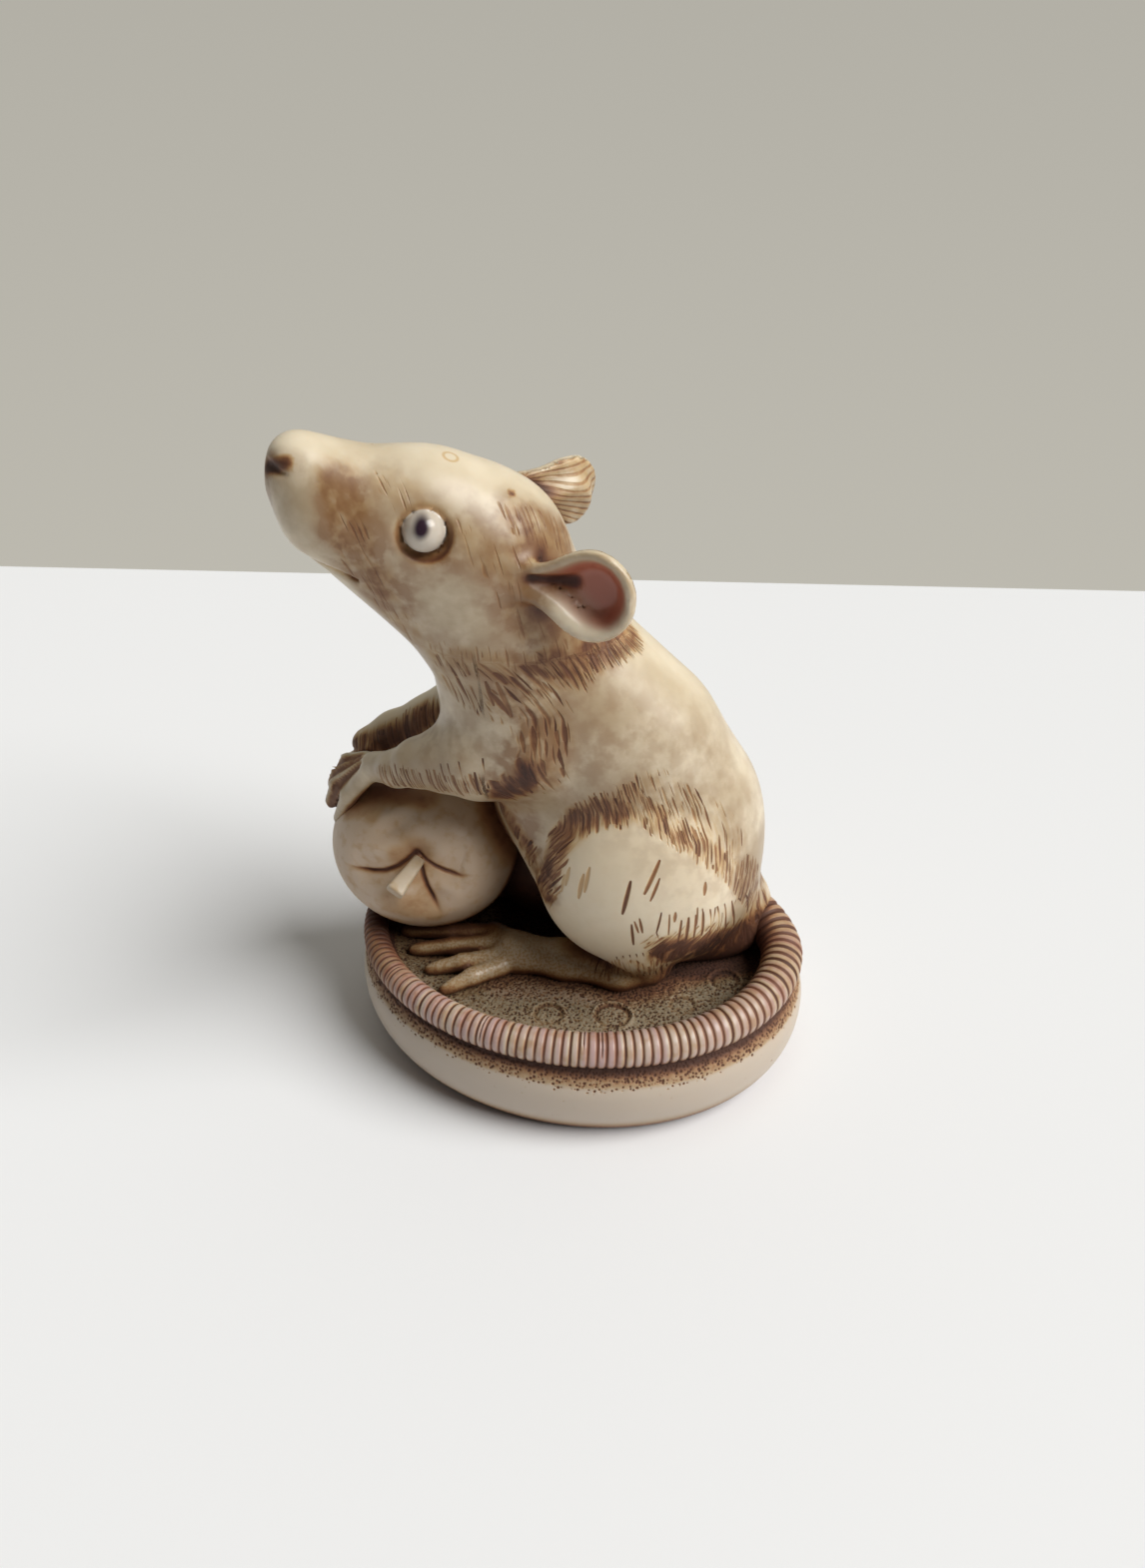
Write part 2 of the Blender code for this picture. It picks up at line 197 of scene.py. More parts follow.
class Ball:
    """An ellipsoid, whose radii run along its axes."""

    def __init__(self, centre, radii, axes=BODY):
        self.centre = vector(centre)
        self.radii = np.ones(3) * radii
        self.axes = axes

    def box(self):
        reach = np.sqrt(((self.axes * self.radii[:, None]) ** 2).sum(0))
        return self.centre - reach, self.centre + reach

    def outside(self, x, y, z):
        x, y, z = x - self.centre[0], y - self.centre[1], z - self.centre[2]
        near, steep = 0, 0
        for axis, radius in zip(self.axes, self.radii):
            along = axis[0] * x + axis[1] * y + axis[2] * z
            near = near + (along / radius) ** 2
            steep = steep + (along / radius**2) ** 2
        near = np.sqrt(near)
        return near * (near - 1) / np.maximum(np.sqrt(steep), 1e-6)


class Taper:
    """A rod with round ends, of one radius at its start and another at its end."""

    def __init__(self, start, end, radius, end_radius):
        self.start, self.end = vector(start), vector(end)
        self.radius, self.end_radius = radius, end_radius

    def box(self):
        reach = max(self.radius, self.end_radius)
        return np.minimum(self.start, self.end) - reach, np.maximum(self.start, self.end) + reach

    def outside(self, x, y, z):
        run = self.end - self.start
        square = run @ run
        drop = self.radius - self.end_radius
        slant = square - drop * drop
        px, py, pz = x - self.start[0], y - self.start[1], z - self.start[2]
        along = px * run[0] + py * run[1] + pz * run[2]
        past = along - square
        aside = (
            (px * square - run[0] * along) ** 2
            + (py * square - run[1] * along) ** 2
            + (pz * square - run[2] * along) ** 2
        )
        behind, beyond = along * along * square, past * past * square
        turn = np.sign(drop) * drop * drop * aside
        at_end = np.sqrt(aside + beyond) / square - self.end_radius
        at_start = np.sqrt(aside + behind) / square - self.radius
        between = (np.sqrt(aside * slant / square) + along * drop) / square - self.radius
        nearer = np.where(np.sign(along) * slant * behind < turn, at_start, between)
        return np.where(np.sign(past) * slant * beyond > turn, at_end, nearer)


class Group:
    """Several forms that run into each other."""

    def __init__(self, forms, blend=0.0):
        self.forms = forms
        self.blend = blend

    def box(self):
        boxes = [form.box() for form in self.forms]
        return np.min([low for low, high in boxes], 0), np.max([high for low, high in boxes], 0)

    def outside(self, x, y, z):
        nearest = self.forms[0].outside(x, y, z)
        for form in self.forms[1:]:
            nearest = soft_least(nearest, form.outside(x, y, z), self.blend)
        return nearest


class EarShell:
    """A cupped ear: a drop-shaped outline, a thin bowl inside it and a rounded rim."""

    def __init__(self, side):
        self.centre = head_point(EAR_PLACE[0], side * EAR_PLACE[1], EAR_PLACE[2])
        self.axes = ear_axes(side)

    def box(self):
        return self.centre - EAR_REACH, self.centre + EAR_REACH

    def about(self, points):
        """Which points are near enough to belong to this ear."""
        return np.linalg.norm(points - self.centre, axis=1) < EAR_REACH

    def parts(self, x, y, z):
        """How far outside the outline, how far out of the bowl's middle, and along and up the ear."""
        x, y, z = x - self.centre[0], y - self.centre[1], z - self.centre[2]
        back, out, up = (axis[0] * x + axis[1] * y + axis[2] * z for axis in self.axes)
        round_part = np.sqrt((back - 1.1) ** 2 + up**2) - 4.0
        share = np.clip((back + 4.4) / 5.2, 0, 1)
        narrow = np.sqrt((back + 4.4 - share * 5.2) ** 2 + (up + 0.2 - share * 0.2) ** 2) - 1.7 - share * 2.0
        outline = soft_least(round_part, narrow, 1.0)
        inner = outline + 0.85 * rise(0.3, 3.0, -0.85 * up - 0.5 * back)
        bowl = -1.75 * rise(0.5, 2.4, -inner) + 0.25 * rise(2.0, 0.2, -outline)
        return outline, out - bowl, back, up, inner

    def slit(self):
        """Both ends of the slit that runs from the ear's root into the bowl."""
        back, out, up = self.axes
        root = self.centre - back * 4.2 + up * 0.25 + out * 0.5
        return root, self.centre - back * 0.4 + up * 0.35 - out * 0.55

    def shadow_line(self):
        """The dark line that follows the slit and ends deep in the bowl."""
        back, out, up = self.axes
        line = ((-4.6, 0.1), (-3.5, -0.7), (-2.2, -1.2), (-1.0, -1.25))
        return np.array([self.centre + back * along + up * 0.35 + out * deep for along, deep in line])

    def outside(self, x, y, z):
        outline, out = self.parts(x, y, z)[:2]
        shell = np.abs(out) - 0.5 - 0.16 * rise(1.3, 0.3, -outline)
        return -soft_least(-shell, -outline, 0.9)


def limb(points, radii, blend=0.6):
    """A limb from joint to joint."""
    joints = list(zip(points, radii))
    return Group([Taper(a, b, ra, rb) for (a, ra), (b, rb) in zip(joints, joints[1:])], blend)


# Clay: a grid that holds how far each point lies outside the modelled surface

# The boxes that clay is modelled in, and how far from each form its distance is still reckoned
ALL_BOX = ((-32, -27, -13), (32, 27, 64))
ALL_REACH = 4.5
MOUSE_BOX = ((-31, -17, -2.6), (23.5, 18, 62))
MOUSE_REACH = 1.6


class Clay:
    """Modelling clay that forms are added to and cut from, and whose skin is a fine mesh."""

    def __init__(self, low, high, step, reach):
        self.low = vector(low)
        self.step = step
        self.reach = reach
        self.count = [int(np.ceil((b - a) / step)) + 1 for a, b in zip(low, high)]
        self.axes = [a + step * np.arange(n) for a, n in zip(low, self.count)]
        self.gap = np.full(self.count, 50.0, np.float32)

    def shape(self, form, blend, change):
        low, high = form.box()
        margin = self.reach + blend
        first = np.floor((low - margin - self.low) / self.step).astype(int)
        last = np.ceil((high + margin - self.low) / self.step).astype(int) + 1
        window = tuple(slice(max(a, 0), max(min(b, n), 0)) for a, b, n in zip(first, last, self.count))
        x, y, z = (axis[part].astype(np.float32) for axis, part in zip(self.axes, window))
        new = form.outside(x[:, None, None], y[None, :, None], z[None, None, :])
        self.gap[window] = change(self.gap[window], new)

    def add(self, form, blend=0.0):
        self.shape(form, blend, lambda old, new: soft_least(old, new, blend))

    def cut(self, form, blend=0.0):
        self.shape(form, blend, lambda old, new: -soft_least(-old, new, blend))

    def distance(self, points):
        """How far points lie outside the surface, read between the grid's own points."""
        place = np.clip((points - self.low) / self.step, 0, vector(self.count) - 1.001)
        cell = place.astype(int)
        share = place - cell
        total = 0
        for corner in np.ndindex(2, 2, 2):
            weight = np.prod(np.where(corner, share, 1 - share), axis=1)
            i, j, k = (cell + corner).T
            total = total + weight * self.gap[i, j, k]
        return total

    def normals(self, points):
        """Which way the surface faces."""
        slopes = [self.distance(points + e) - self.distance(points - e) for e in np.eye(3) * self.step]
        slopes = np.stack(slopes, 1)
        return slopes / np.maximum(np.linalg.norm(slopes, axis=1, keepdims=True), 1e-6)

    def seen_at(self, pixels):
        """The places on the surface that show at pixels of the photograph."""
        travel = np.arange(55, 175, 0.2)
        places = []
        for x, y in pixels:
            ray = CAMERA[None] + travel[:, None] * photo_ray(x, y)[None]
            gap = self.distance(ray)
            hits = np.nonzero(gap < 0)[0]
            last = hits[0] if len(hits) else np.argmin(gap)
            back = np.clip(gap[last] / min(gap[last] - gap[last - 1], -1e-6), 0, 1)
            places.append(ray[last] + back * (ray[last - 1] - ray[last]))
        return np.array(places)

    def skin(self):
        """The surface as points and quads: one point in each cell that the surface crosses."""
        gap, inside = self.gap, self.gap < 0
        halves = (slice(0, -1), slice(1, None))
        corners = list(np.ndindex(2, 2, 2))
        count = sum(inside[tuple(halves[c] for c in corner)].astype(np.int8) for corner in corners)
        cells = np.argwhere((count > 0) & (count < 8))
        index = np.full([n - 1 for n in self.count], -1, np.int64)
        index[tuple(cells.T)] = np.arange(len(cells))
        total, hits = np.zeros((len(cells), 3)), np.zeros(len(cells))
        for corner in corners:
            for axis in range(3):
                if corner[axis]:
                    continue
                other = tuple(c + (i == axis) for i, c in enumerate(corner))
                a = gap[tuple((cells + corner).T)].astype(float)
                b = gap[tuple((cells + other).T)].astype(float)
                crossed = (a < 0) != (b < 0)
                place = np.tile(vector(corner), (len(cells), 1))
                place[:, axis] = np.where(crossed, a / np.where(crossed, a - b, 1), 0)
                total += place * crossed[:, None]
                hits += crossed
        points = self.low + (cells + total / hits[:, None]) * self.step
        faces = []
        for axis in range(3):
            u, v = (axis + 1) % 3, (axis + 2) % 3
            before = tuple(halves[0] if i == axis else slice(None) for i in range(3))
            after = tuple(halves[1] if i == axis else slice(None) for i in range(3))
            edges = np.argwhere(inside[before] != inside[after])
            outwards = inside[before][tuple(edges.T)]
            ring = []
            for du, dv in ((-1, -1), (0, -1), (0, 0), (-1, 0)):
                cell = edges.copy()
                cell[:, u] += du
                cell[:, v] += dv
                ring.append(index[tuple(cell.T)])
            ring = np.stack(ring, 1)
            ring[~outwards] = ring[~outwards][:, ::-1]
            faces.append(ring)
        for _ in range(2):
            points -= self.normals(points) * self.distance(points)[:, None]
        return points, np.concatenate(faces)


# The camera's own view, for what is placed by a pixel of the photograph

CAMERA = vector(CAMERA_PLACE) - LIFT
TIP, TURN = radians(CAMERA_TURN[0]), radians(CAMERA_TURN[2])
VIEW_RIGHT = vector((cos(TURN), sin(TURN), 0))
VIEW_AHEAD = vector((-sin(TURN) * sin(TIP), cos(TURN) * sin(TIP), -cos(TIP)))
VIEW_UP = np.cross(VIEW_RIGHT, VIEW_AHEAD)


def photo_ray(x, y):
    """The direction from the camera through a pixel of the photograph."""
    right = (x - PHOTO_WIDTH / 2) / FOCAL_PIXELS
    down = (y - PHOTO_HEIGHT / 2) / FOCAL_PIXELS
    return unit(VIEW_AHEAD + VIEW_RIGHT * right - VIEW_UP * down)


def on_ball(pixels, centre, radii):
    """The places on an upright ellipsoid that show at pixels of the photograph."""
    places = []
    for x, y in pixels:
        start, way = (CAMERA - centre) / radii, photo_ray(x, y) / radii
        a, b, c = way @ way, start @ way, start @ start - 1
        travel = (-b - max(b * b - a * c, 0) ** 0.5) / a
        places.append(CAMERA + photo_ray(x, y) * travel)
    return np.array(places)


def on_level(pixels, height):
    """The places at one height that show at pixels of the photograph."""
    rays = [photo_ray(x, y) for x, y in pixels]
    return np.array([CAMERA + ray * (height - CAMERA[2]) / ray[2] for ray in rays])


# The mouse

NEAR_FINGERS = (
    ((-21.8, -4.4, 21.4), (-24.6, -4.2, 17.8), (-26.6, -3.2, 13.8)),
    ((-22.8, -3.6, 21.2), (-26.4, -3.0, 18.2), (-27.9, -2.3, 15.2)),
    ((-23.2, -2.8, 21.2), (-26.6, -2.2, 19.2), (-27.8, -1.6, 17.0)),
    ((-23.2, -2.2, 21.2), (-25.8, -1.6, 20.2), (-26.9, -1.0, 18.7)),
)
FAR_FINGERS = (
    ((-24.4, 1.4, 20.2), (-26.6, 0.9, 18.4), (-27.9, 0.6, 15.4)),
    ((-24.8, 2.4, 20.0), (-27.2, 2.4, 17.8), (-28.0, 2.2, 14.6)),
    ((-24.6, 3.4, 19.8), (-26.4, 4.2, 17.4), (-27.0, 4.4, 14.2)),
)
FINGER_RADII = (1.1, 0.95, 0.8)
TOES = (
    ((-6.6, -8.0, 1.3), (-9.0, -10.3, 1.2), (-10.8, -11.9, 0.7)),
    ((-7.4, -7.0, 1.5), (-10.8, -8.6, 1.3), (-13.4, -9.6, 0.7)),
    ((-8.6, -5.2, 1.6), (-12.8, -6.4, 1.4), (-16.3, -7.2, 0.7)),
    ((-9.2, -3.4, 1.6), (-14.0, -4.2, 1.4), (-18.4, -4.6, 0.7)),
)
TOE_RADII = (1.15, 0.95, 0.8)
FOOT = ((9.0, -3.4, 1.7), (6.0, -5.0, 1.8), (0.0, -5.4, 1.8), (-5.5, -5.6, 1.6), (-8.5, -3.6, 1.5))
FOOT_RADII = (2.2, 2.3, 2.1, 2.1, 1.5)
THIGH_CENTRES = ((7.2, -5.2, 14.3), (5.4, 9.8, 14.0))
THIGH_RADII = (9.8, 6.3, 10.2)
THIGH_LEAN = 12


def thighs():
    """The near thigh and the far one."""
    return [Ball(centre, THIGH_RADII, leaning(BODY, THIGH_LEAN)) for centre in THIGH_CENTRES]


def carve_trunk(clay):
    """Rump, belly, chest, neck and the two thighs."""
    clay.add(Ball((8.4, 2.6, 12.7), (10.7, 11.0, 13.0)))
    clay.add(Ball((6.6, 2.2, 18.5), (11.9, 10.4, 11.5)), 2.4)
    clay.add(Ball((3.4, 1.0, 25.8), (11.2, 9.3, 10.2)), 2.4)
    clay.add(Ball((-0.8, 3.6, 18.2), (9.8, 8.0, 10.0)), 2.4)
    clay.add(Ball((-0.8, 0.2, 30.2), (9.6, 8.8, 9.8)), 2.4)
    clay.add(Taper((3.6, 1.0, 27.0), (-2.8, -1.0, 37.8), 8.8, 6.9), 2.4)
    clay.add(Taper((-5.2, -0.8, 31.2), (-6.4, -3.0, 41.8), 8.7, 7.9), 2.4)
    clay.add(Taper((-2.4, -1.6, 21.0), (0.4, -2.4, 14.0), 5.6, 5.2), 2.4)
    clay.add(Taper((11.0, 4.5, 9.0), (16.6, 6.8, 5.4), 6.0, 3.2), 3.0)
    clay.add(Ball((-4.0, 5.2, 6.5), (7.5, 4.5, 8.0)), 2.0)
    clay.add(Ball((12.5, 6.5, 2.5), (8.0, 7.0, 4.5)), 2.4)
    for thigh in thighs():
        clay.add(thigh, 1.3)
    for place in (tuple, far_side):
        clay.add(Taper(place((8.0, -6.4, 7.0)), place((8.8, -4.2, 2.6)), 2.8, 2.2), 1.6)


def carve_head(clay):
    """Skull, muzzle, whisker pads, mouth, nostrils, eyes in their sockets, and ears."""
    clay.add(Ball(head_point(0.8, 0, -0.4), (7.4, 7.2, 7.2), HEAD), 2.4)
    clay.add(Ball(head_point(6.6, 0, 0.5), (7.4, 5.6, 6.7), HEAD), 2.0)
    clay.add(Taper(head_point(3, 0, -0.5), head_point(16.2, 0, 0.5), 7.0, 4.3), 2.0)
    clay.add(Taper(head_point(0, 0, -6), head_point(11.5, 0, -2.0), 6.5, 4.8), 2.5)
    clay.add(Ball(head_point(18.0, 0, 1.0), (3.0, 3.2, 3.2), HEAD), 1.2)
    clay.add(Ball(head_point(19.0, 0, 2.3), (2.2, 2.5, 2.1), HEAD), 1.0)
    for side in (-1, 1):
        clay.add(Ball(head_point(15.0, side * 1.9, -1.3), (4.2, 3.2, 3.5), HEAD), 1.2)
    clay.cut(Taper(head_point(20.6, 0, -0.6), head_point(19.4, 0, -4.4), 0.22, 0.3), 0.5)
    for side in (-1, 1):
        lip = ((19.6, 0, -3.6), (16.0, side * 3.1, -4.6), (11.6, side * 4.3, -4.4))
        clay.cut(limb([head_point(*joint) for joint in lip], (0.3, 0.34, 0.25)), 0.5)
        nostril = (head_point(21.3, side * 1.0, 1.5), head_point(19.8, side * 2.6, 1.9))
        clay.cut(Taper(*nostril, 0.4, 0.2), 0.5)
        clay.cut(Ball(head_point(EYE_PLACE[0], side * 6.0, EYE_PLACE[2]), 2.2, HEAD), 0.6)
        clay.add(Ball(eye_centre(side), EYE_RADIUS, HEAD))
        ear = EarShell(side)
        clay.add(ear, 1.3)
        clay.cut(Taper(*ear.slit(), 0.36, 0.6), 0.5)


def finger_grooves(fingers, lift):
    """Where each finger parts from the next, so far out from the line between their bones."""
    for pair in zip(fingers, fingers[1:]):
        between = [(vector(a) + vector(b)) / 2 for a, b in zip(*pair)]
        yield [joint + unit(joint - vector(FRUIT_CENTRE)) * lift for joint in between]


def carve_arms(clay):
    """Upper arms, forearms and the fingers that grip the fruit."""
    near = ((-3.5, -4.8, 28.6), (-8.4, -6.2, 26.9), (-12, -6.2, 25.8), (-15.2, -6, 24.7))
    clay.add(limb(near, (5.6, 4.3, 3.2, 2.5), 1.2), 2.2)
    clay.add(limb(((-5, 6, 29), (-12, 6.4, 26.5), (-18.5, 4.6, 23.1)), (5.8, 4.2, 2.9), 1.2), 2.2)
    near_paw = ((-15.2, -6.0, 24.7), (-17.8, -5.6, 23.3), (-21.4, -3.8, 21.8))
    clay.add(limb(near_paw, (2.5, 1.85, 1.6), 1.0), 0.8)
    far_paw = ((-18.5, 4.6, 23.1), (-22.5, 3.8, 21.6), (-25.3, 2.8, 20.1))
    clay.add(limb(far_paw, (2.9, 2.2, 1.9), 1.0), 0.8)
    for fingers in (NEAR_FINGERS, FAR_FINGERS):
        clay.add(Group([limb(finger, FINGER_RADII, 0.5) for finger in fingers], 0.0), 0.3)
        for groove in finger_grooves(fingers, 0.95):
            clay.cut(limb(groove, (0.24, 0.36, 0.3)), 0.3)
        for finger in fingers:
            tip, before = vector(finger[2]), vector(finger[1])
            way = unit(tip - before)
            clay.add(Taper(tip + way * 0.45, tip + way * 0.95, 0.55, 0.3), 0.08)


def carve_feet(clay):
    """The long hind feet, four spread toes on each, and their nails."""
    for place in (tuple, far_side):
        clay.add(limb([place(joint) for joint in FOOT], FOOT_RADII, 1.2), 0.8)
        toes = [[vector(place(joint)) for joint in toe] for toe in TOES]
        clay.add(Group([limb(toe, TOE_RADII, 0.5) for toe in toes], 0.15), 0.7)
        for toe in toes:
            way = unit(toe[2] - toe[1])
            clay.add(Taper(toe[2] + way * 0.4, toe[2] + way * 0.85, 0.7, 0.62), 0.06)


def carve_mouse(clay):
    """The whole mouse without its tail."""
    carve_trunk(clay)
    carve_head(clay)
    carve_arms(clay)
    carve_feet(clay)


# The tail, the pebble and the fruit as rules


def tail_radius(angle):
    """The tail's radius where it passes an angle round the pebble, in degrees."""
    angle = np.asarray(angle, float)
    share = np.clip((TAIL_START_ANGLE - angle) / (TAIL_START_ANGLE + 90), 0, 1)
    front = TAIL_ROOT_RADIUS + (TAIL_FRONT_RADIUS - TAIL_ROOT_RADIUS) * share**0.6
    share = np.clip((-90 - angle) / (-90 - TAIL_END_ANGLE), 0, 1)
    return front + (TAIL_TIP_RADIUS - TAIL_FRONT_RADIUS) * share


def tail_centre(angle):
    """The tail's middle line: from the rump down to the rim, and then along the rim."""
    radius, turn = tail_radius(angle), np.radians(angle)
    x = (PEBBLE_LENGTH / 2 - TAIL_INSET - radius) * np.cos(turn)
    y = (PEBBLE_WIDTH / 2 - TAIL_INSET - radius) * np.sin(turn)
    line = np.stack([x, y, RIM_RISE - TAIL_SINK + radius], 1)
    share = np.clip((angle - TAIL_JOIN_ANGLE) / (TAIL_START_ANGLE - TAIL_JOIN_ANGLE), 0, 1) ** 2
    return line + (vector(TAIL_ROOT) - line) * share[:, None]


class Ground:
    """The pebble and the level ground on it, near enough to reckon what shelters what."""

    def box(self):
        half = vector((PEBBLE_LENGTH / 2, PEBBLE_WIDTH / 2, 0))
        return -half - LIFT, half

    def outside(self, x, y, z):
        across = np.sqrt((x / PEBBLE_LENGTH) ** 2 + (y / PEBBLE_WIDTH) ** 2) * 2
        return np.maximum(z + 0 * across, (across - 1) * PEBBLE_WIDTH / 2 + 0 * z)


def surroundings():
    """Everything together, on a coarse grid."""
    clay = Clay(*ALL_BOX, COARSE_GRID, ALL_REACH)
    carve_mouse(clay)
    clay.add(Ground())
    clay.add(Ball(FRUIT_CENTRE, FRUIT_RADII, np.eye(3)))
    angles = np.linspace(TAIL_START_ANGLE, TAIL_END_ANGLE, 60)
    joints = list(zip(tail_centre(angles), tail_radius(angles)))
    for (a, ra), (b, rb) in zip(joints, joints[1:]):
        clay.add(Taper(a, b, ra, rb))
    return clay


def shelter(points, normals, fine=None):
    """How far points are hemmed in by what stands round them: 0 in the open, 1 in a deep gap. The finishes
    darken by it, both as stain pooled in hollows and as painted shade.
    """
    total = 0
    for reach, weight, clay in ((0.7, 0.3, fine), (1.6, 0.3, ALL_CLAY), (3.6, 0.4, ALL_CLAY)):
        if clay is None:
            continue
        gap = clay.distance(points + normals * reach)
        total = total + weight * np.clip(1 - gap / reach, 0, 1)
    return np.clip(total, 0, 1)


# Brushwork


def path_distance(points, path):
    """How far points are from a path, and how far along it the nearest place is, as a share."""
    if len(path) == 1:
        return np.linalg.norm(points - path[0], axis=1), np.zeros(len(points))
    lengths = np.linalg.norm(np.diff(path, axis=0), axis=1)
    best = np.full(len(points), 1e9)
    share = np.zeros(len(points))
    for i, (a, b) in enumerate(zip(path, path[1:])):
        run = b - a
        t = np.clip((points - a) @ run / max(run @ run, 1e-9), 0, 1)
        gap = np.linalg.norm(points - a - t[:, None] * run, axis=1)
        nearer = gap < best
        best[nearer] = gap[nearer]
        share[nearer] = ((lengths[:i].sum() + t * lengths[i]) / lengths.sum())[nearer]
    return best, share


def brush(points, path, width, strength):
    """A soft band along a path, used for stain, dust and painted shade."""
    return strength * (1 - rise(width * 0.3, width, path_distance(points, path)[0]))


# Each line: which sides, width, how dense the carved hairs are, how deep the wash of stain and painted shade
# is, and the path in pixels of the photograph. "body" and "head" repeat it on the far side.
COAT = (
    ("head", 2.7, 0.85, 0.85, ((540, 666), (572, 663), (600, 652), (628, 634))),
    ("head", 2.8, 0.65, 0.45, ((505, 668), (540, 676), (570, 672))),
    ("body", 2.6, 0.6, 0.4, ((444, 660), (475, 664), (508, 672), (540, 685))),
    ("body", 2.4, 0.5, 0.15, ((455, 688), (485, 700), (512, 712))),
    ("body", 2.4, 0.62, 0.3, ((520, 700), (533, 725), (541, 748), (537, 770))),
    ("body", 2.3, 1.0, 1.0, ((502, 795), (518, 786), (533, 768))),
    ("body", 2.6, 0.5, 0.3, ((545, 700), (556, 745), (550, 780))),
    ("near", 2.4, 0.5, 0.8, ((505, 812), (522, 842), (535, 868), (545, 893))),
    ("near", 1.8, 0.95, 0.2, ((385, 779), (410, 780), (440, 785), (470, 788), (495, 790))),
    ("body", 2.1, 1.0, 1.0, ((546, 912), (550, 877), (559, 845), (582, 819), (605, 809), (621, 812))),
    ("body", 2.0, 0.9, 0.6, ((630, 797), (646, 812), (669, 825), (685, 838))),
    ("body", 2.0, 0.85, 0.5, ((695, 843), (714, 857), (733, 873), (746, 892))),
    ("body", 2.6, 0.35, 0.25, ((650, 790), (700, 812), (735, 845))),
    ("body", 2.4, 0.9, 0.3, ((746, 872), (754, 895), (756, 912), (738, 925))),
    ("body", 2.6, 1.0, 1.0, ((672, 952), (700, 944), (735, 934), (765, 922))),
    ("body", 1.8, 0.9, 0.45, ((604, 970), (630, 966), (655, 972), (667, 955))),
    ("body", 1.6, 0.6, 0.3, ((655, 945), (685, 936), (715, 930))),
    ("near", 2.2, 0.9, 0.95, ((358, 748), (382, 741), (405, 731), (430, 712))),
    ("near", 1.6, 0.6, 0.4, ((345, 745), (362, 728))),
    ("head", 2.8, 0.0, 0.45, ((338, 480), (346, 505), (344, 530))),
    ("head", 2.6, 0.22, 0.55, ((352, 540), (362, 562), (380, 588))),
    ("head", 2.2, 0.25, 0.2, ((384, 486), (408, 494))),
    ("head", 2.6, 0.25, 0.3, ((356, 572), (388, 606), (414, 636))),
    ("head", 3.4, 0.3, 0.15, ((427, 532),)),
    ("head", 2.6, 0.45, 0.25, ((456, 538), (485, 552), (512, 568))),
    ("head", 2.8, 0.6, 0.4, ((520, 520), (545, 532), (566, 542))),
    ("head", 1.8, 0.4, 0.6, ((528, 538),)),
    ("head", 2.2, 0.3, 0.35, ((514, 585), (519, 610), (534, 636), (556, 652))),
)

# Near-black spots, partly stain and partly painted shade in holes, slits and gaps: which sides, width, how
# deep they are, and the path
DARK_SPOTS_AND_SHADE = (
    ("head", 0.95, 0.95, ((268, 468), (277, 466))),
    ("head", 0.85, 0.9, ((277, 465), (286, 463))),
    ("near", 0.55, 0.9, ((512, 494),)),
    ("near", 1.4, 0.5, ((390, 742), (412, 730), (430, 716))),
)

# Near-black edges that break into hairs, on both sides of the body, partly stain and partly painted shade low
# on the rump and under the arm: width, how deep, and the path
FRINGE = (
    (3.3, 0.95, ((672, 953), (706, 949), (740, 940), (770, 928))),
    (1.3, 0.45, ((508, 794), (524, 782), (532, 770))),
)

# Soft brown washes without hairs, partly stain and partly painted shade on sides turned from the light and
# under the arm: which sides, width, how deep they are, and the path
HAZE = (
    ("head", 2.6, 0.74, ((341, 494), (348, 512), (350, 535))),
    ("head", 1.7, 0.35, ((347, 496), (351, 528))),
    ("head", 3.2, 0.74, ((350, 535), (366, 562), (388, 594))),
    ("head", 4.6, 0.24, ((374, 500), (388, 540))),
    ("head", 4.2, 0.42, ((456, 534), (488, 553), (515, 576))),
    ("head", 2.0, 0.34, ((428, 572), (446, 570))),
    ("head", 1.5, 0.50, ((512, 580), (514, 604), (526, 626))),
    ("head", 3.0, 0.52, ((520, 520), (545, 533), (566, 545))),
    ("head", 3.2, 0.62, ((512, 588), (520, 615), (540, 645), (590, 652))),
    ("head", 1.7, 0.55, ((268, 470), (266, 492))),
    ("head", 1.3, 0.50, ((270, 466), (292, 464))),
    ("head", 4.2, 0.30, ((402, 626), (430, 650), (480, 662), (540, 676))),
    ("near", 9.0, 0.20, ((455, 720), (495, 745), (560, 760))),
    ("near", 4.0, 0.18, ((385, 752), (430, 752), (470, 760))),
    ("near", 3.2, 0.68, ((512, 790), (524, 772), (538, 745))),
    ("near", 2.6, 0.40, ((505, 690), (528, 715), (542, 750))),
    ("near", 3.0, 0.72, ((512, 806), (528, 840), (543, 885))),
    ("body", 9.0, 0.24, ((600, 750), (670, 780), (715, 840))),
    ("body", 3.0, 0.20, ((744, 880), (750, 915))),
)
HAZE_SPREAD = 1.3

# Width and depth of the dark in the ears' slits and between the fingers: painted shadow with stain
SLIT_SHADOW_AND_STAIN = (1.15, 1.0)
FINGER_STAIN_AND_SHADE = (0.72, 0.72)


# The planes that the two halves of the body and of the head are alike about
MIRRORS = {"body": (BODY_MIDDLE, BODY[1]), "head": (vector(HEAD_CENTRE), HEAD[1])}


def brushed(points, side, path, width, strength):
    """A band of stain and painted shade, repeated on the far side where the line asks for it."""
    layer = brush(points, path, width, strength)
    if side in MIRRORS:
        layer = np.maximum(layer, brush(mirrored_over(points, *MIRRORS[side]), path, width, strength))
    return layer


def painted_gap_shadow(points):
    """Painted shadow: the near-black pocket between belly, fruit and leg."""
    reach = np.linalg.norm((points - (-6.0, 1.6, 4.0)) / (6.5, 6.0, 7.5), axis=1)
    return 0.97 * rise(1.0, 0.72, reach)


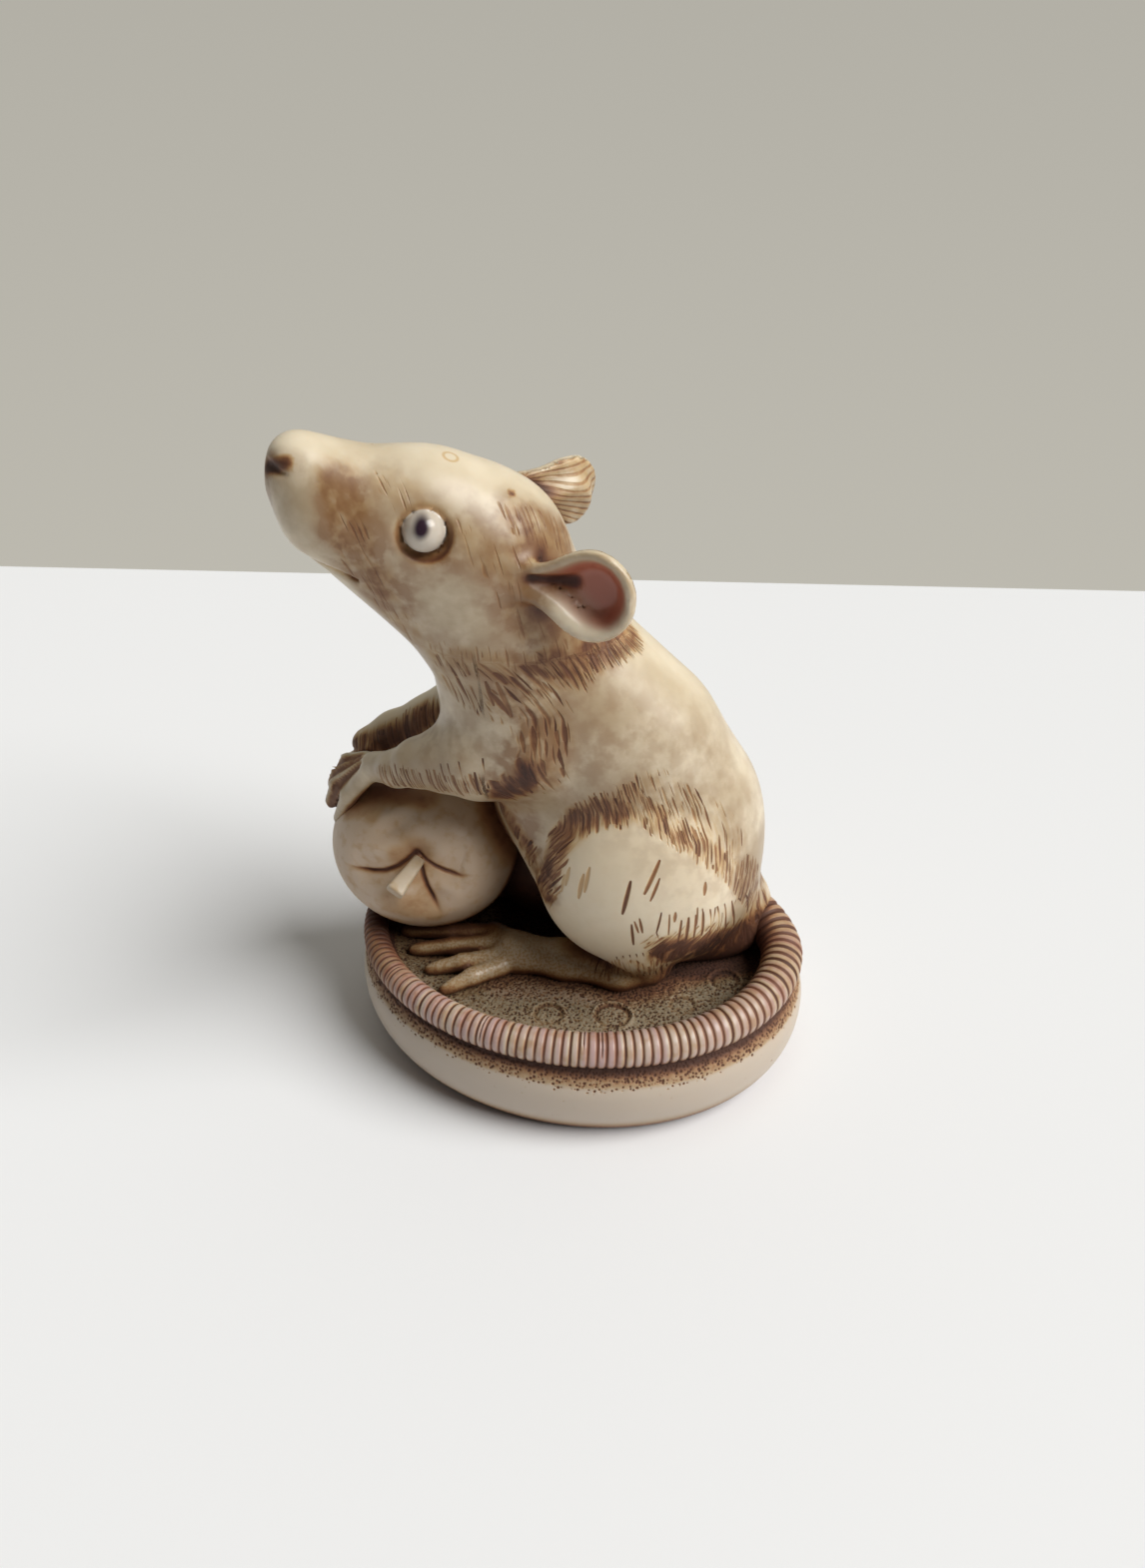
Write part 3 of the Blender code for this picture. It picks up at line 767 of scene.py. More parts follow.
def trunk_lay(points):
    """Across and along the lie of the trunk's fur, which hangs down and leans a little."""
    x, y, z = points.T
    spine = np.interp(z, (0, 12, 24, 34, 40, 46, 54), (7, 7, 5.5, 4.2, 1.4, -2.6, -8.6))
    middle = np.interp(z, (0, 24, 40, 54), (2, 1.5, -1.5, -4))
    lean = np.interp(z, (0, 9, 21, 24, 48), (-4, -4.6, 4.8, 4.8, 0))
    turn = np.arctan2(y - middle, x - spine)
    across = 12 * turn + np.sin(turn) * lean
    on_arm = (x < -6.5) & (z > 16)
    across = np.where(on_arm, -x * 1.2 - 0.3 * z, across)
    return np.stack([across, np.where(on_arm, 0.62 * z, z), 0 * z], 1)


def head_lay(points):
    """Across and along the lie of the head's fur, which runs back and down, and out on each ear."""
    forward, near, up = on_head_axes(points)
    down = 7 * np.abs(np.arctan2(near, up + 2.0))
    s, c = sin(radians(HEAD_FUR_SLANT)), cos(radians(HEAD_FUR_SLANT))
    lay = np.stack([forward * s + down * c, down * s - forward * c, 0 * up], 1)
    on_ear = np.zeros(len(points), bool)
    for side in (-1, 1):
        ear = EarShell(side)
        outline, out, back, rise_up = ear.parts(*points.T)[:4]
        here = (outline < 0.1) & (out < -0.1) & (out > -1.6) & ear.about(points)
        around = np.arctan2(rise_up + 0.2, back + 7.5)
        reach = np.hypot(rise_up + 0.2, back + 7.5)
        lay[here] = np.stack([9 * around, reach, 0 * reach], 1)[here]
        on_ear |= here
    return lay, on_ear


def ear_flush(points):
    """Where the reddish hollows of the ears are."""
    total = np.zeros(len(points))
    for side in (-1, 1):
        ear = EarShell(side)
        out, back, up, inner = ear.parts(*points.T)[1:]
        redness = 0.3 + 0.7 * rise(-2.4, 0.6, 0.7 * up + 0.6 * back)
        total = np.maximum(total, rise(0.6, 1.5, -inner) * (out > 0) * ear.about(points) * redness)
    return total


# Meshes


def placed(name, data):
    """A new object in the scene."""
    obj = bpy.data.objects.new(name, data)
    bpy.context.scene.collection.objects.link(obj)
    return obj


def make_piece(name, points, faces=(), edges=()):
    """An object from points in millimetres and a list of faces or edges."""
    mesh = bpy.data.meshes.new(name)
    metres = (np.asarray(points) + LIFT) * MM
    mesh.from_pydata(metres.tolist(), edges, faces)
    mesh.shade_smooth()
    return placed(name, mesh)


def store(obj, **layers):
    """Keeps numbers or vectors for a piece's points. Points past the end of a layer get 0."""
    for name, values in layers.items():
        values = np.asarray(values, np.float32)
        spare = np.zeros((len(obj.data.vertices) - len(values), *values.shape[1:]), np.float32)
        kind, field = ("FLOAT", "value") if values.ndim == 1 else ("FLOAT_VECTOR", "vector")
        layer = obj.data.attributes.new(name, kind, "POINT")
        layer.data.foreach_set(field, np.concatenate([values, spare]).ravel())


def surface_of(obj):
    """A piece's points in millimetres, and its normals."""
    mesh = obj.data
    points = np.empty(len(mesh.vertices) * 3)
    mesh.vertices.foreach_get("co", points)
    normals = np.empty(len(mesh.vertices) * 3)
    mesh.vertex_normals.foreach_get("vector", normals)
    return points.reshape(-1, 3) / MM - LIFT, normals.reshape(-1, 3)


def closed_loft(rows, columns):
    """The faces of a loft whose rows are closed loops, with a cap at each end."""
    i, j = np.meshgrid(np.arange(rows - 1), np.arange(columns), indexing="ij")
    k = (j + 1) % columns
    quads = np.stack([i * columns + j, i * columns + k, (i + 1) * columns + k, (i + 1) * columns + j], -1)
    last = (rows - 1) * columns
    return quads.reshape(-1, 4).tolist() + [list(range(columns))[::-1], list(range(last, last + columns))]


def mouse(clay):
    """The mouse's skin with its stain and painted shade, its fur's lie and what shelters it."""
    points, faces = clay.skin()
    hairs, wash, soot, fringe, clean = (np.zeros(len(points)) for _ in range(5))
    for side, width, hair, deep, pixels in COAT:
        path = clay.seen_at(pixels)
        hairs = np.maximum(hairs, brushed(points, side, path, width, hair))
        wash = np.maximum(wash, brushed(points, side, path, width, deep))
    for side, width, deep, pixels in DARK_SPOTS_AND_SHADE:
        soot = np.maximum(soot, brushed(points, side, clay.seen_at(pixels), width, deep))
    for width, deep, pixels in FRINGE:
        fringe = np.maximum(fringe, brushed(points, "body", clay.seen_at(pixels), width, deep))
    for side in (-1, 1):
        soot = np.maximum(soot, brush(points, EarShell(side).shadow_line(), *SLIT_SHADOW_AND_STAIN))
    for fingers in (NEAR_FINGERS, FAR_FINGERS):
        for groove in finger_grooves(fingers, 0.8):
            soot = np.maximum(soot, brush(points, np.array(groove), *FINGER_STAIN_AND_SHADE))
    # Soft brown haze, partly stain and partly painted shade
    open_share = np.ones(len(points))
    for side, width, deep, pixels in HAZE:
        open_share *= 1 - brushed(points, side, clay.seen_at(pixels), HAZE_SPREAD * width, deep)
    for thigh in thighs():
        clean = np.maximum(clean, rise(1.3, 0.2, thigh.outside(*points.T)))
    x, z = points[:, 0], points[:, 2]
    lay, on_ear = head_lay(points)
    forward, up = on_head_axes(points)[::2]
    on_head = np.maximum(rise(-9, -6, up + 0.35 * forward), on_ear)
    flush = ear_flush(points)
    ear_back = on_ear * (flush < 0.2) * 1.0
    # Painted shade: darker low on the rump, near the ground
    wash = np.maximum(wash, 0.75 * rise(10.0, 3.0, z) * rise(5.0, 11.0, x))
    obj = make_piece("mouse", points, faces.tolist())
    store(
        obj,
        trunk_lay=trunk_lay(points),
        head_lay=lay,
        trunk_hairs=hairs * (1 - on_head),
        head_hairs=hairs * on_head * (1 - ear_back),
        ear_back=ear_back,
        wash=np.maximum(wash, ear_back * 0.32),
        # Near-black spots and slits, partly stain and partly painted shade, and painted shadow under the
        # belly
        soot=np.maximum(soot, painted_gap_shadow(points)),
        # Painted shade: near-black lowest on the rump, by the ground
        fringe=np.maximum(fringe, 0.95 * rise(4.6, 1.8, z) * rise(9.8, 11.6, x)),
        haze=1 - open_share,
        clean=clean,
        flush=flush,
        # Painted shade: darker where the surface does not face up
        patina=1 - rise(0.15, 0.9, ALL_CLAY.normals(points)[:, 2]),
        wash_lay=np.where(on_head[:, None] > 0.5, lay * (0.6, 1.4, 0), trunk_lay(points)),
        dust=1 - rise(2.6, 5.5, z),
        shelter=shelter(points, clay.normals(points), clay),
    )
    return obj


# The rim and the bed of the tail: shares of the bed's width, and shares of the rim's height
BED_PROFILE = (
    (0.34, 0.25), (0.37, 0.5), (0.42, 0.8), (0.5, 1.0), (0.7, 0.85), (0.85, 0.5), (1.05, 0.0), (1.2, -1.5),
)


def wall_profile():
    """Inset and height of the pebble's wall, its rim and the bed under the ground, bottom to top."""
    coarse = np.linspace(0, 0.5, 10)
    fine = np.linspace(0.52, 1.0, PEBBLE_ROWS)
    profile = []
    for share in np.concatenate([coarse, fine]):
        if share < WIDEST_SHARE:
            inset = UNDERSIDE_INSET * (1 - share / WIDEST_SHARE) ** 2.4
        else:
            inset = SHOULDER_INSET * ((share - WIDEST_SHARE) / (1 - WIDEST_SHARE)) ** 2
        profile.append((inset, (share - 1) * GROUND_HEIGHT))
    return profile + [(TAIL_BED * share, RIM_RISE * height) for share, height in BED_PROFILE]


def pebble():
    """The pebble as a closed loft, with how thickly its wall is pitted."""
    profile = wall_profile()
    turn = np.arange(PEBBLE_COLUMNS) * tau / PEBBLE_COLUMNS
    rows = []
    for inset, height in profile:
        a, b = PEBBLE_LENGTH / 2 - inset, PEBBLE_WIDTH / 2 - inset
        rows.append(np.stack([a * np.cos(turn), b * np.sin(turn), np.full_like(turn, height)], 1))
    points = np.concatenate(rows)
    obj = make_piece("pebble", points, closed_loft(len(rows), PEBBLE_COLUMNS))
    x, y, height = points.T
    turn = np.arctan2(y, x)
    uneven = 0.7 * np.sin(turn * 3 + 1.3) + 0.3 * np.sin(turn * 11)
    pitting = rise(-2.1 + 0.3 * uneven, -1.0, height)
    # The wall's top darkens just under the tail: painted shadow together with stain
    store(obj, pitting=pitting, line=rise(-0.8 + 0.15 * uneven, 0.0, height))
    return obj


# Middle of each worn ring on the ground as a pixel of the photograph, its radius, and its depth
GROUND_RINGS = (
    ((549, 1015), 1.45, 0.7),
    ((613, 1017), 1.75, 1.0),
    ((683, 1007), 1.3, 0.55),
    ((725, 982), 1.45, 1.0),
)

# Darker lines on the ground: in the corner by the tail's root, partly stain and partly painted shade, and
# along the foot
CORNER_LINE = ((668, 966), (712, 969), (752, 962), (788, 945))
HEEL_LINE = ((505, 985), (560, 987), (620, 994), (660, 986), (690, 972), (730, 955))


def hump(gap, width, middle=0.0):
    """A rounded rise: 1 at its middle, and about so wide to either side."""
    return np.exp(-(((gap - middle) / width) ** 2))


def ground():
    """The dusty ground inside the tail: a fine sheet with worn rings, closed below by a skirt."""
    share = np.linspace(-1, 1, GROUND_COUNT)
    a, b = np.meshgrid(share, share, indexing="ij")
    wide = np.abs(a) > np.abs(b)
    radius = np.where(wide, a, b)
    with np.errstate(divide="ignore", invalid="ignore"):
        turn = np.where(wide, pi / 4 * b / a, pi / 2 - pi / 4 * a / b)
    turn = np.nan_to_num(turn)
    x = (radius * np.cos(turn) * (PEBBLE_LENGTH / 2 - GROUND_INSET)).ravel()
    y = (radius * np.sin(turn) * (PEBBLE_WIDTH / 2 - GROUND_INSET)).ravel()
    waves = 0.12 * np.sin(x * 0.55 + 1) * np.sin(y * 0.6)
    points = np.stack([x, y, waves + 0.25 * rise(0.86, 1.0, np.abs(radius).ravel())], 1)
    ring_mark, ring_rim = np.zeros(len(points)), np.zeros(len(points))
    for pixel, size, strength in GROUND_RINGS:
        middle = on_level([pixel], 0.0)[0]
        gap = np.hypot(x - middle[0], y - middle[1])
        depth = strength * (0.65 + 0.35 * ((points - middle) @ VIEW_AHEAD) / np.maximum(gap, 0.3))
        points[:, 2] += depth * (0.24 * hump(gap, 0.26, size + 0.32) - 0.26 * hump(gap, 0.17, size - 0.06))
        ring_mark = np.maximum(ring_mark, depth * hump(gap, 0.2, size - 0.06))
        ring_rim = np.maximum(ring_rim, depth * hump(gap, 0.2, size + 0.34))
    number = np.arange(len(points)).reshape(GROUND_COUNT, GROUND_COUNT)
    corners = (number[:-1, :-1], number[1:, :-1], number[1:, 1:], number[:-1, 1:])
    faces = np.stack(corners, -1).reshape(-1, 4).tolist()
    border = [*number[:, 0], *number[-1, 1:], *number[-2::-1, -1], *number[0, -2:0:-1]]
    below = len(points) + np.arange(len(border))
    skirt = points[border] - (0, 0, SKIRT_HEIGHT)
    faces += np.stack([np.roll(border, -1), border, below, np.roll(below, -1)], 1).tolist()
    faces.append(below[::-1].tolist())
    obj = make_piece("ground", np.concatenate([points, skirt]), faces)
    heel = brush(points, on_level(HEEL_LINE, 0.0), 3.2, 1.0)
    # The corner by the tail's root: stain and painted shade; painted shadow under the belly too
    corner = brush(points, on_level(CORNER_LINE, 0.0), 3.2, 0.85)
    soot = np.maximum(corner, painted_gap_shadow(points))
    store(obj, pitting=0.86 + 0.14 * heel, heel=heel, ring_mark=ring_mark, ring_rim=ring_rim, soot=soot)
    return obj


def ring_spread(angle):
    """How closely the rings follow each other: wider apart towards the root."""
    return 1 - 0.25 * rise(-70, 15, angle)


def tail_line():
    """The tail's middle line as a chain of edges, with its girth and how far along each point is."""
    angles = np.linspace(TAIL_START_ANGLE, TAIL_END_ANGLE, 6000)
    line = tail_centre(angles)
    travel = np.concatenate([[0], np.cumsum(np.linalg.norm(np.diff(line, axis=0), axis=1))])
    count = int(travel[-1] / RING_PITCH * POINTS_PER_PITCH)
    even = np.linspace(0, travel[-1], count)
    middle = np.stack([np.interp(even, travel, column) for column in line.T], 1)
    girth = np.interp(even, travel, tail_radius(angles))
    left = np.clip((travel[-1] - even) / TAIL_TIP_RADIUS, 0.02, 1)
    girth *= np.sqrt(left * (2 - left))
    obj = make_piece("tail", middle, edges=[(i, i + 1) for i in range(count - 1)])
    turn = np.interp(even, travel, angles)
    ringed = np.interp(even, travel, np.cumsum(np.gradient(travel) * ring_spread(angles)))
    # Darker towards the root, and much darker from the left round to the far side: partly stain and partly
    # painted shade
    wash = 0.24 * rise(-60, 20, turn) + 0.75 * rise(-116, -165, turn)
    store(obj, girth=girth * MM, wash=wash, root=rise(-40, 25, turn), travel=ringed * MM)
    return obj


# Creases from the stem pit: path in pixels of the photograph, depth of the valley and of the line in it
STEM_PIT = (414, 856)
LOBE_LINES = (
    (((413, 854), (403, 864), (393, 871), (379, 876), (365, 876), (352, 871), (342, 862)), 1.0, 1.0),
    (((416, 854), (426, 864), (437, 871), (449, 876), (464, 880), (480, 876)), 0.95, 0.85),
    (((419, 864), (423, 882), (428, 895), (435, 907), (444, 918)), 1.0, 1.0),
    (((412, 852), (405, 840), (396, 828), (389, 812)), 0.85, 0.1),
)

# Smudges and spots on the fruit, partly stain and partly painted shade under the paw and at the bottom by the
# foot: path, width and how deep they are
SMUDGES_AND_SHADE = (
    (((380, 797), (400, 792), (425, 797)), 2.4, 0.5),
    (((395, 862), (412, 880)), 2.2, 0.4),
    (((405, 842), (416, 852)), 1.6, 0.4),
    (((390, 905), (430, 915)), 2.6, 0.35),
    (((381, 804), (372, 816)), 1.5, 0.35),
    (((350, 812), (372, 808)), 1.6, 0.45),
    (((371, 894),), 0.35, 0.9),
    (((405, 899),), 0.3, 0.7),
)

# The stem's share of its full girth at shares of its length, with a softened edge at its cut end
PEG_ROWS = ((0, 0.7), (0.3, 0.78), (0.6, 0.9), (0.85, 1.02), (0.95, 1.08), (0.985, 1.05), (1.0, 0.95))
PEG_HALF_WIDTH = 0.92
PEG_HALF_DEPTH = 0.72


def fruit():
    """The round fruit: lobes parted by carved creases that run from its stem pit."""
    axis = unit(FRUIT_AXIS)
    across = unit(np.cross((0, 0, 1), axis))
    down = np.cross(across, axis)
    centre, radii = vector(FRUIT_CENTRE), vector(FRUIT_RADII)
    tilt = pi * (np.arange(1, FRUIT_RINGS) / FRUIT_RINGS) ** 1.15
    turn = np.arange(FRUIT_SIDES) * tau / FRUIT_SIDES
    tilt, turn = np.meshgrid(tilt, turn, indexing="ij")
    spread = np.cos(turn)[..., None] * across + np.sin(turn)[..., None] * down
    way = (np.cos(tilt)[..., None] * axis + np.sin(tilt)[..., None] * spread).reshape(-1, 3)
    points = centre + way * radii
    from_pit = np.linalg.norm(points - on_ball([STEM_PIT], centre, radii)[0], axis=1)
    valleys = (1.1 * hump(from_pit, 1.5)) ** 3
    crease = 0.8 * hump(from_pit, 0.7)
    for pixels, valley, line in LOBE_LINES:
        gap, share = path_distance(points, on_ball(pixels, centre, radii))
        fade = 1 - rise(0.6, 1.0, share) * 0.92
        valleys = valleys + (fade * (valley * 1.25 * hump(gap, 2.5) + line * 0.4 * hump(gap, 0.26))) ** 3
        crease = np.maximum(crease, line * fade * hump(gap, 0.24))
    points = points - way * np.cbrt(valleys)[:, None]
    stain = np.zeros(len(points))
    for pixels, width, strength in SMUDGES_AND_SHADE:
        stain = np.maximum(stain, brush(points, on_ball(pixels, centre, radii), width, strength))
    foot, end = centre + axis * 7.6 + down * 0.8, centre + axis * 10.0 - across * 2.5 + down * 3.9
    peg_points, peg_faces = peg(foot, end)
    faces = closed_loft(FRUIT_RINGS - 1, FRUIT_SIDES)
    faces += [[number + len(points) for number in face] for face in peg_faces]
    obj = make_piece("fruit", np.concatenate([points, peg_points]), faces)
    on_peg = np.arange(len(points) + len(peg_points)) >= len(points)
    hemmed = shelter(*surface_of(obj))
    # Painted shadow where the fruit faces the gap under the belly
    store(obj, crease=crease, stain=stain, soot=painted_gap_shadow(points), peg=on_peg, shelter=hemmed)
    return obj


def peg(foot, end):
    """The stem: a flat-sided peg that widens towards its cut end."""
    along = unit(end - foot)
    side = unit(np.cross(along, VIEW_AHEAD))
    thick = np.cross(side, along)
    corners = 28
    turn = np.arange(corners) * tau / corners
    wide, deep = (np.sign(wave) * np.abs(wave) ** 0.45 for wave in (np.cos(turn), np.sin(turn)))
    section = wide[:, None] * side * PEG_HALF_WIDTH + deep[:, None] * thick * PEG_HALF_DEPTH
    rows = [foot + (end - foot) * share + section * scale for share, scale in PEG_ROWS]
    return np.concatenate(rows), closed_loft(len(rows), corners)


# Node trees


def with_other(operation):
    """What a wire makes with another wire or a number after it."""
    return lambda wire, other: wire.board.maths(operation, wire, other)


def with_number(operation):
    """What a wire makes with a number before it."""
    return lambda wire, other: wire.board.maths(operation, other, wire)


class Wire:
    """A socket of a node tree. Arithmetic on it adds Math nodes."""

    def __init__(self, board, socket):
        self.board = board
        self.socket = socket

    def also(self, name):
        """Another output of the same node."""
        return Wire(self.board, pick(self.socket.node.outputs, name))

    def __neg__(self):
        return self * -1.0

    __add__ = with_other("ADD")
    __radd__ = with_number("ADD")
    __sub__ = with_other("SUBTRACT")
    __rsub__ = with_number("SUBTRACT")
    __mul__ = with_other("MULTIPLY")
    __rmul__ = with_number("MULTIPLY")
    __truediv__ = with_other("DIVIDE")
    __rtruediv__ = with_number("DIVIDE")
    __pow__ = with_other("POWER")


def pick(sockets, name):
    """A socket by its number, its identifier or its name."""
    if isinstance(name, int):
        return sockets[name]
    for socket in sockets:
        if socket.identifier == name:
            return socket
    return sockets[name]


class Board:
    """A node tree, filled in by expressions."""

    def __init__(self, tree):
        self.tree = tree

    def add(self, kind, settings=None, values=None, out=0):
        """Any node: its settings first, then the values or wires of its sockets."""
        node = self.tree.nodes.new(kind)
        for name, setting in (settings or {}).items():
            if name == "stops":
                while len(node.color_ramp.elements) < len(setting):
                    node.color_ramp.elements.new(1.0)
                for element, (place, colour) in zip(node.color_ramp.elements, setting):
                    element.position = place
                    element.color = (*colour, 1)
            else:
                setattr(node, name, setting)
        for name, value in (values or {}).items():
            self.feed(pick(node.inputs, name), value)
        return Wire(self, pick(node.outputs, out))

    def feed(self, socket, value):
        """A wire or a plain value into a socket."""
        if isinstance(value, Wire):
            self.tree.links.new(value.socket, socket)
        elif socket.type == "RGBA":
            socket.default_value = (*value[:3], 1)
        else:
            socket.default_value = value

    def maths(self, operation, *values):
        return self.add("ShaderNodeMath", {"operation": operation}, dict(enumerate(values)))

    def vector(self, operation, *values, out=0):
        return self.add("ShaderNodeVectorMath", {"operation": operation}, dict(enumerate(values)), out)

    def smooth(self, value, low, high):
        """From 0 at low to 1 at high."""
        ends = {"Value": value, "From Min": low, "From Max": high}
        return self.add("ShaderNodeMapRange", {"interpolation_type": "SMOOTHSTEP"}, ends)

    def within(self, value):
        return self.add("ShaderNodeClamp", values={"Value": value})

    def blend(self, share, first, second, way="MIX"):
        """Two colours mixed."""
        settings = {"data_type": "RGBA", "blend_type": way, "clamp_factor": True}
        feeds = {"Factor_Float": share, "A_Color": first, "B_Color": second}
        return self.add("ShaderNodeMix", settings, feeds, "Result_Color")

    def kept(self, name, out="Fac"):
        """A number or vector kept on the piece's points."""
        return self.add("ShaderNodeAttribute", {"attribute_name": name}, out=out)

    def place(self):
        """Object coordinates in millimetres."""
        return self.vector("MULTIPLY", self.add("ShaderNodeTexCoord", out="Object"), (1 / MM,) * 3)

    def dot(self, wire, way):
        """How far a vector reaches along a direction."""
        return self.vector("DOT_PRODUCT", wire, tuple(way), out="Value")

    def between(self, first, second):
        """The distance from one place to another."""
        return self.vector("DISTANCE", first, second, out="Value")

    def part(self, wire, name):
        """X, Y or Z of a vector."""
        return self.add("ShaderNodeSeparateXYZ", values={0: wire}, out=name)

    def from_half(self, wire):
        """How far the fraction of a number is from a half."""
        return self.maths("ABSOLUTE", self.maths("FRACT", wire) - 0.5)

    def cells(self, place, scale, randomness, out="Distance", settings=None):
        """A pattern of random cells."""
        values = {"Vector": place, "Scale": scale, "Randomness": randomness}
        return self.add("ShaderNodeTexVoronoi", settings, values, out)

    def scaled(self, wire, factor):
        """A vector made longer or shorter by a number that may vary."""
        return self.add("ShaderNodeVectorMath", {"operation": "SCALE"}, {0: wire, "Scale": factor})

    def noise(self, place, size, detail=3.0, out="Fac"):
        """Soft noise whose lumps are about so many millimetres across."""
        values = {"Vector": place, "Scale": 1 / size, "Detail": detail}
        return self.add("ShaderNodeTexNoise", values=values, out=out)


# How much light enters the resin, how far each colour of it goes there, and how deep in millimetres
GLOW = 0.12
GLOW_REACH = (1.0, 0.6, 0.35)
GLOW_DEPTH = 1.2

# Stain, and painted shade with it, thins from dark umber in the cuts to a warm tint on the open surface
STAIN_AND_SHADE_STOPS = (
    (0.0, (1.0, 1.0, 1.0)),
    (0.25, (0.83, 0.70, 0.52)),
    (0.5, (0.61, 0.40, 0.24)),
    (0.75, (0.35, 0.175, 0.10)),
    (1.0, (0.13, 0.053, 0.033)),
)


def together(*layers):
    """Layers of stain and painted shade over each other."""
    open_share = 1 - layers[0]
    for layer in layers[1:]:
        open_share = open_share * (1 - layer)
    return 1 - open_share


def stained_and_shaded(board, base, stain):
    """A base colour under so much stain and painted shade."""
    tint = board.add("ShaderNodeValToRGB", {"stops": STAIN_AND_SHADE_STOPS}, {"Fac": board.within(stain)}, "Color")
    return board.blend(1.0, base, tint, "MULTIPLY")


def carved_hairs(board, lay, width, length, softness, shift, density):
    """Carved hairs: one tapered stroke in each cell of a pattern stretched along the fur."""
    cell = board.vector("MULTIPLY", lay, (1 / width, 1 / length, 0))
    cell = board.vector("ADD", cell, shift)
    pattern = board.cells(cell, 1.0, 0.85, "Position", {"voronoi_dimensions": "2D"})
    x = board.part(board.vector("SUBTRACT", cell, pattern), "X")
    chance = board.add("ShaderNodeSeparateColor", values={0: pattern.also("Color")}, out="Red")
    girth = 0.15 + 0.16 * chance.also("Green")
    bend = (chance.also("Blue") - 0.5) * 0.22
    y = x.also("Y")
    aside = board.maths("ABSOLUTE", x - bend * y)
    edge = girth * (1 - (y / 0.62) ** 2.0) - aside
    shown = board.smooth(density - chance, -0.05, 0.12) * board.smooth(density, 0.0, 0.04)
    return board.smooth(edge, -0.02, softness) * shown * (0.5 + 0.5 * chance.also("Blue"))


def pits(board, place, spacing, seed, pitting):
    """Small pits, one in each cell of a pattern, as thickly as the surface's pitting asks."""
    shift = board.add("ShaderNodeCombineXYZ", values={"X": seed, "Y": seed * 0.7})
    pattern = board.cells(board.vector("ADD", place, shift), 1 / spacing, 0.9)
    chance = board.part(pattern.also("Color"), "X")
    size = 0.75 + 0.5 * chance.also("Y")
    return board.smooth(pattern / size, 0.55, 0.25) * board.smooth(pitting - chance, -0.02, 0.06)


def stroke(board, place, start, end, width):
    """A carved stroke between two places, widest in its middle."""
    run = end - start
    offset = board.vector("SUBTRACT", place, tuple(start))
    share = board.within(board.dot(offset, run / (run @ run)))
    gap = board.between(offset, board.scaled(tuple(run), share))
    girth = width * (0.6 + 2.4 * share * (1 - share))
    return board.smooth(gap / girth, 1.1, 0.45)


# How far apart the small brown specks may lie
SPECK_SPACING = 2.6


def specks(board, place):
    """A few small brown specks."""
    pattern = board.cells(place, 1 / SPECK_SPACING, 1.0)
    chance = board.add("ShaderNodeSeparateColor", values={0: pattern.also("Color")}, out="Red")
    return board.smooth(chance, 0.9, 0.93) * board.smooth(pattern, 0.085, 0.04) * 0.65


def new_material(name):
    """A material and the sockets of its shader."""
    material = bpy.data.materials.new(name)
    material.use_nodes = True
    return material, material.node_tree.nodes["Principled BSDF"].inputs


def resin(name, dress):
    """A painted resin finish from a function that gives its colour, roughness, relief and its depth."""
    material, sockets = new_material(name)
    board = Board(material.node_tree)
    colour, roughness, relief, depth = dress(board, board.place())
    bump = {"Height": relief, "Strength": 1.0, "Distance": depth * MM}
    sockets["Subsurface Weight"].default_value = GLOW
    sockets["Subsurface Radius"].default_value = GLOW_REACH
    sockets["Subsurface Scale"].default_value = GLOW_DEPTH * MM
    board.feed(sockets["Base Color"], colour)
    board.feed(sockets["Roughness"], roughness)
    board.feed(sockets["Normal"], board.add("ShaderNodeBump", values=bump))
    return material


def eye_layers(board, place):
    """Masks of the eyeballs, of the groove about them and of the pupils."""
    balls, grooves, pupils = [], [], []
    for side in (-1, 1):
        middle = eye_centre(side) + LIFT
        gap = board.between(place, tuple(middle))
        balls.append(board.smooth(gap, EYE_RADIUS + 0.14, EYE_RADIUS + 0.04))
        grooves.append(board.smooth(gap, 2.7, 2.0))
        look = unit(HEAD[1] * side + HEAD[0] * 0.40 + HEAD[2] * 0.58)
        flat = board.vector("SUBTRACT", place, tuple(middle + look * EYE_RADIUS))
        total = 0.0
        for way, size in ((HEAD[0], 0.76), (HEAD[2], 1.06), (look, 1.2)):
            along = board.dot(flat, way / size)
            total = along * along + total
        pupils.append(board.smooth(total**0.5, 1.25, 0.4))
    return [board.maths("MAXIMUM", *pair) for pair in (balls, grooves, pupils)]


# Single strokes on thigh, forearm and chest: the pixels of the photograph where each starts and ends,
# half its width and its strength
STROKES = (
    (631, 883, 623, 915, 0.3, 1.0), (660, 862, 645, 895, 0.3, 0.8), (660, 880, 651, 902, 0.2, 0.8),
    (706, 884, 705, 896, 0.28, 0.7), (590, 869, 585, 893, 0.3, 0.4), (584, 876, 579, 899, 0.34, 0.42),
    (570, 869, 566, 886, 0.3, 0.34), (565, 876, 562, 892, 0.26, 0.3), (632, 926, 634, 946, 0.2, 1.0),
    (635, 923, 639, 934, 0.16, 0.8), (640, 920, 643, 934, 0.18, 0.9), (662, 914, 657, 934, 0.15, 1.0),
    (657, 934, 665, 954, 0.13, 1.0), (670, 916, 669, 936, 0.14, 0.8), (676, 914, 675, 923, 0.22, 0.7),
    (698, 909, 697, 927, 0.14, 0.8), (703, 910, 704, 929, 0.14, 0.9), (716, 909, 709, 936, 0.2, 1.0),
    (723, 914, 720, 931, 0.14, 0.8), (441, 765, 447, 783, 0.17, 0.9), (448, 765, 456, 786, 0.18, 0.9),
    (459, 763, 466, 786, 0.18, 0.9), (475, 774, 479, 792, 0.26, 1.0), (483, 760, 489, 789, 0.22, 1.0),
    (486, 683, 494, 706, 0.32, 0.7), (497, 684, 512, 717, 0.36, 0.55),
)

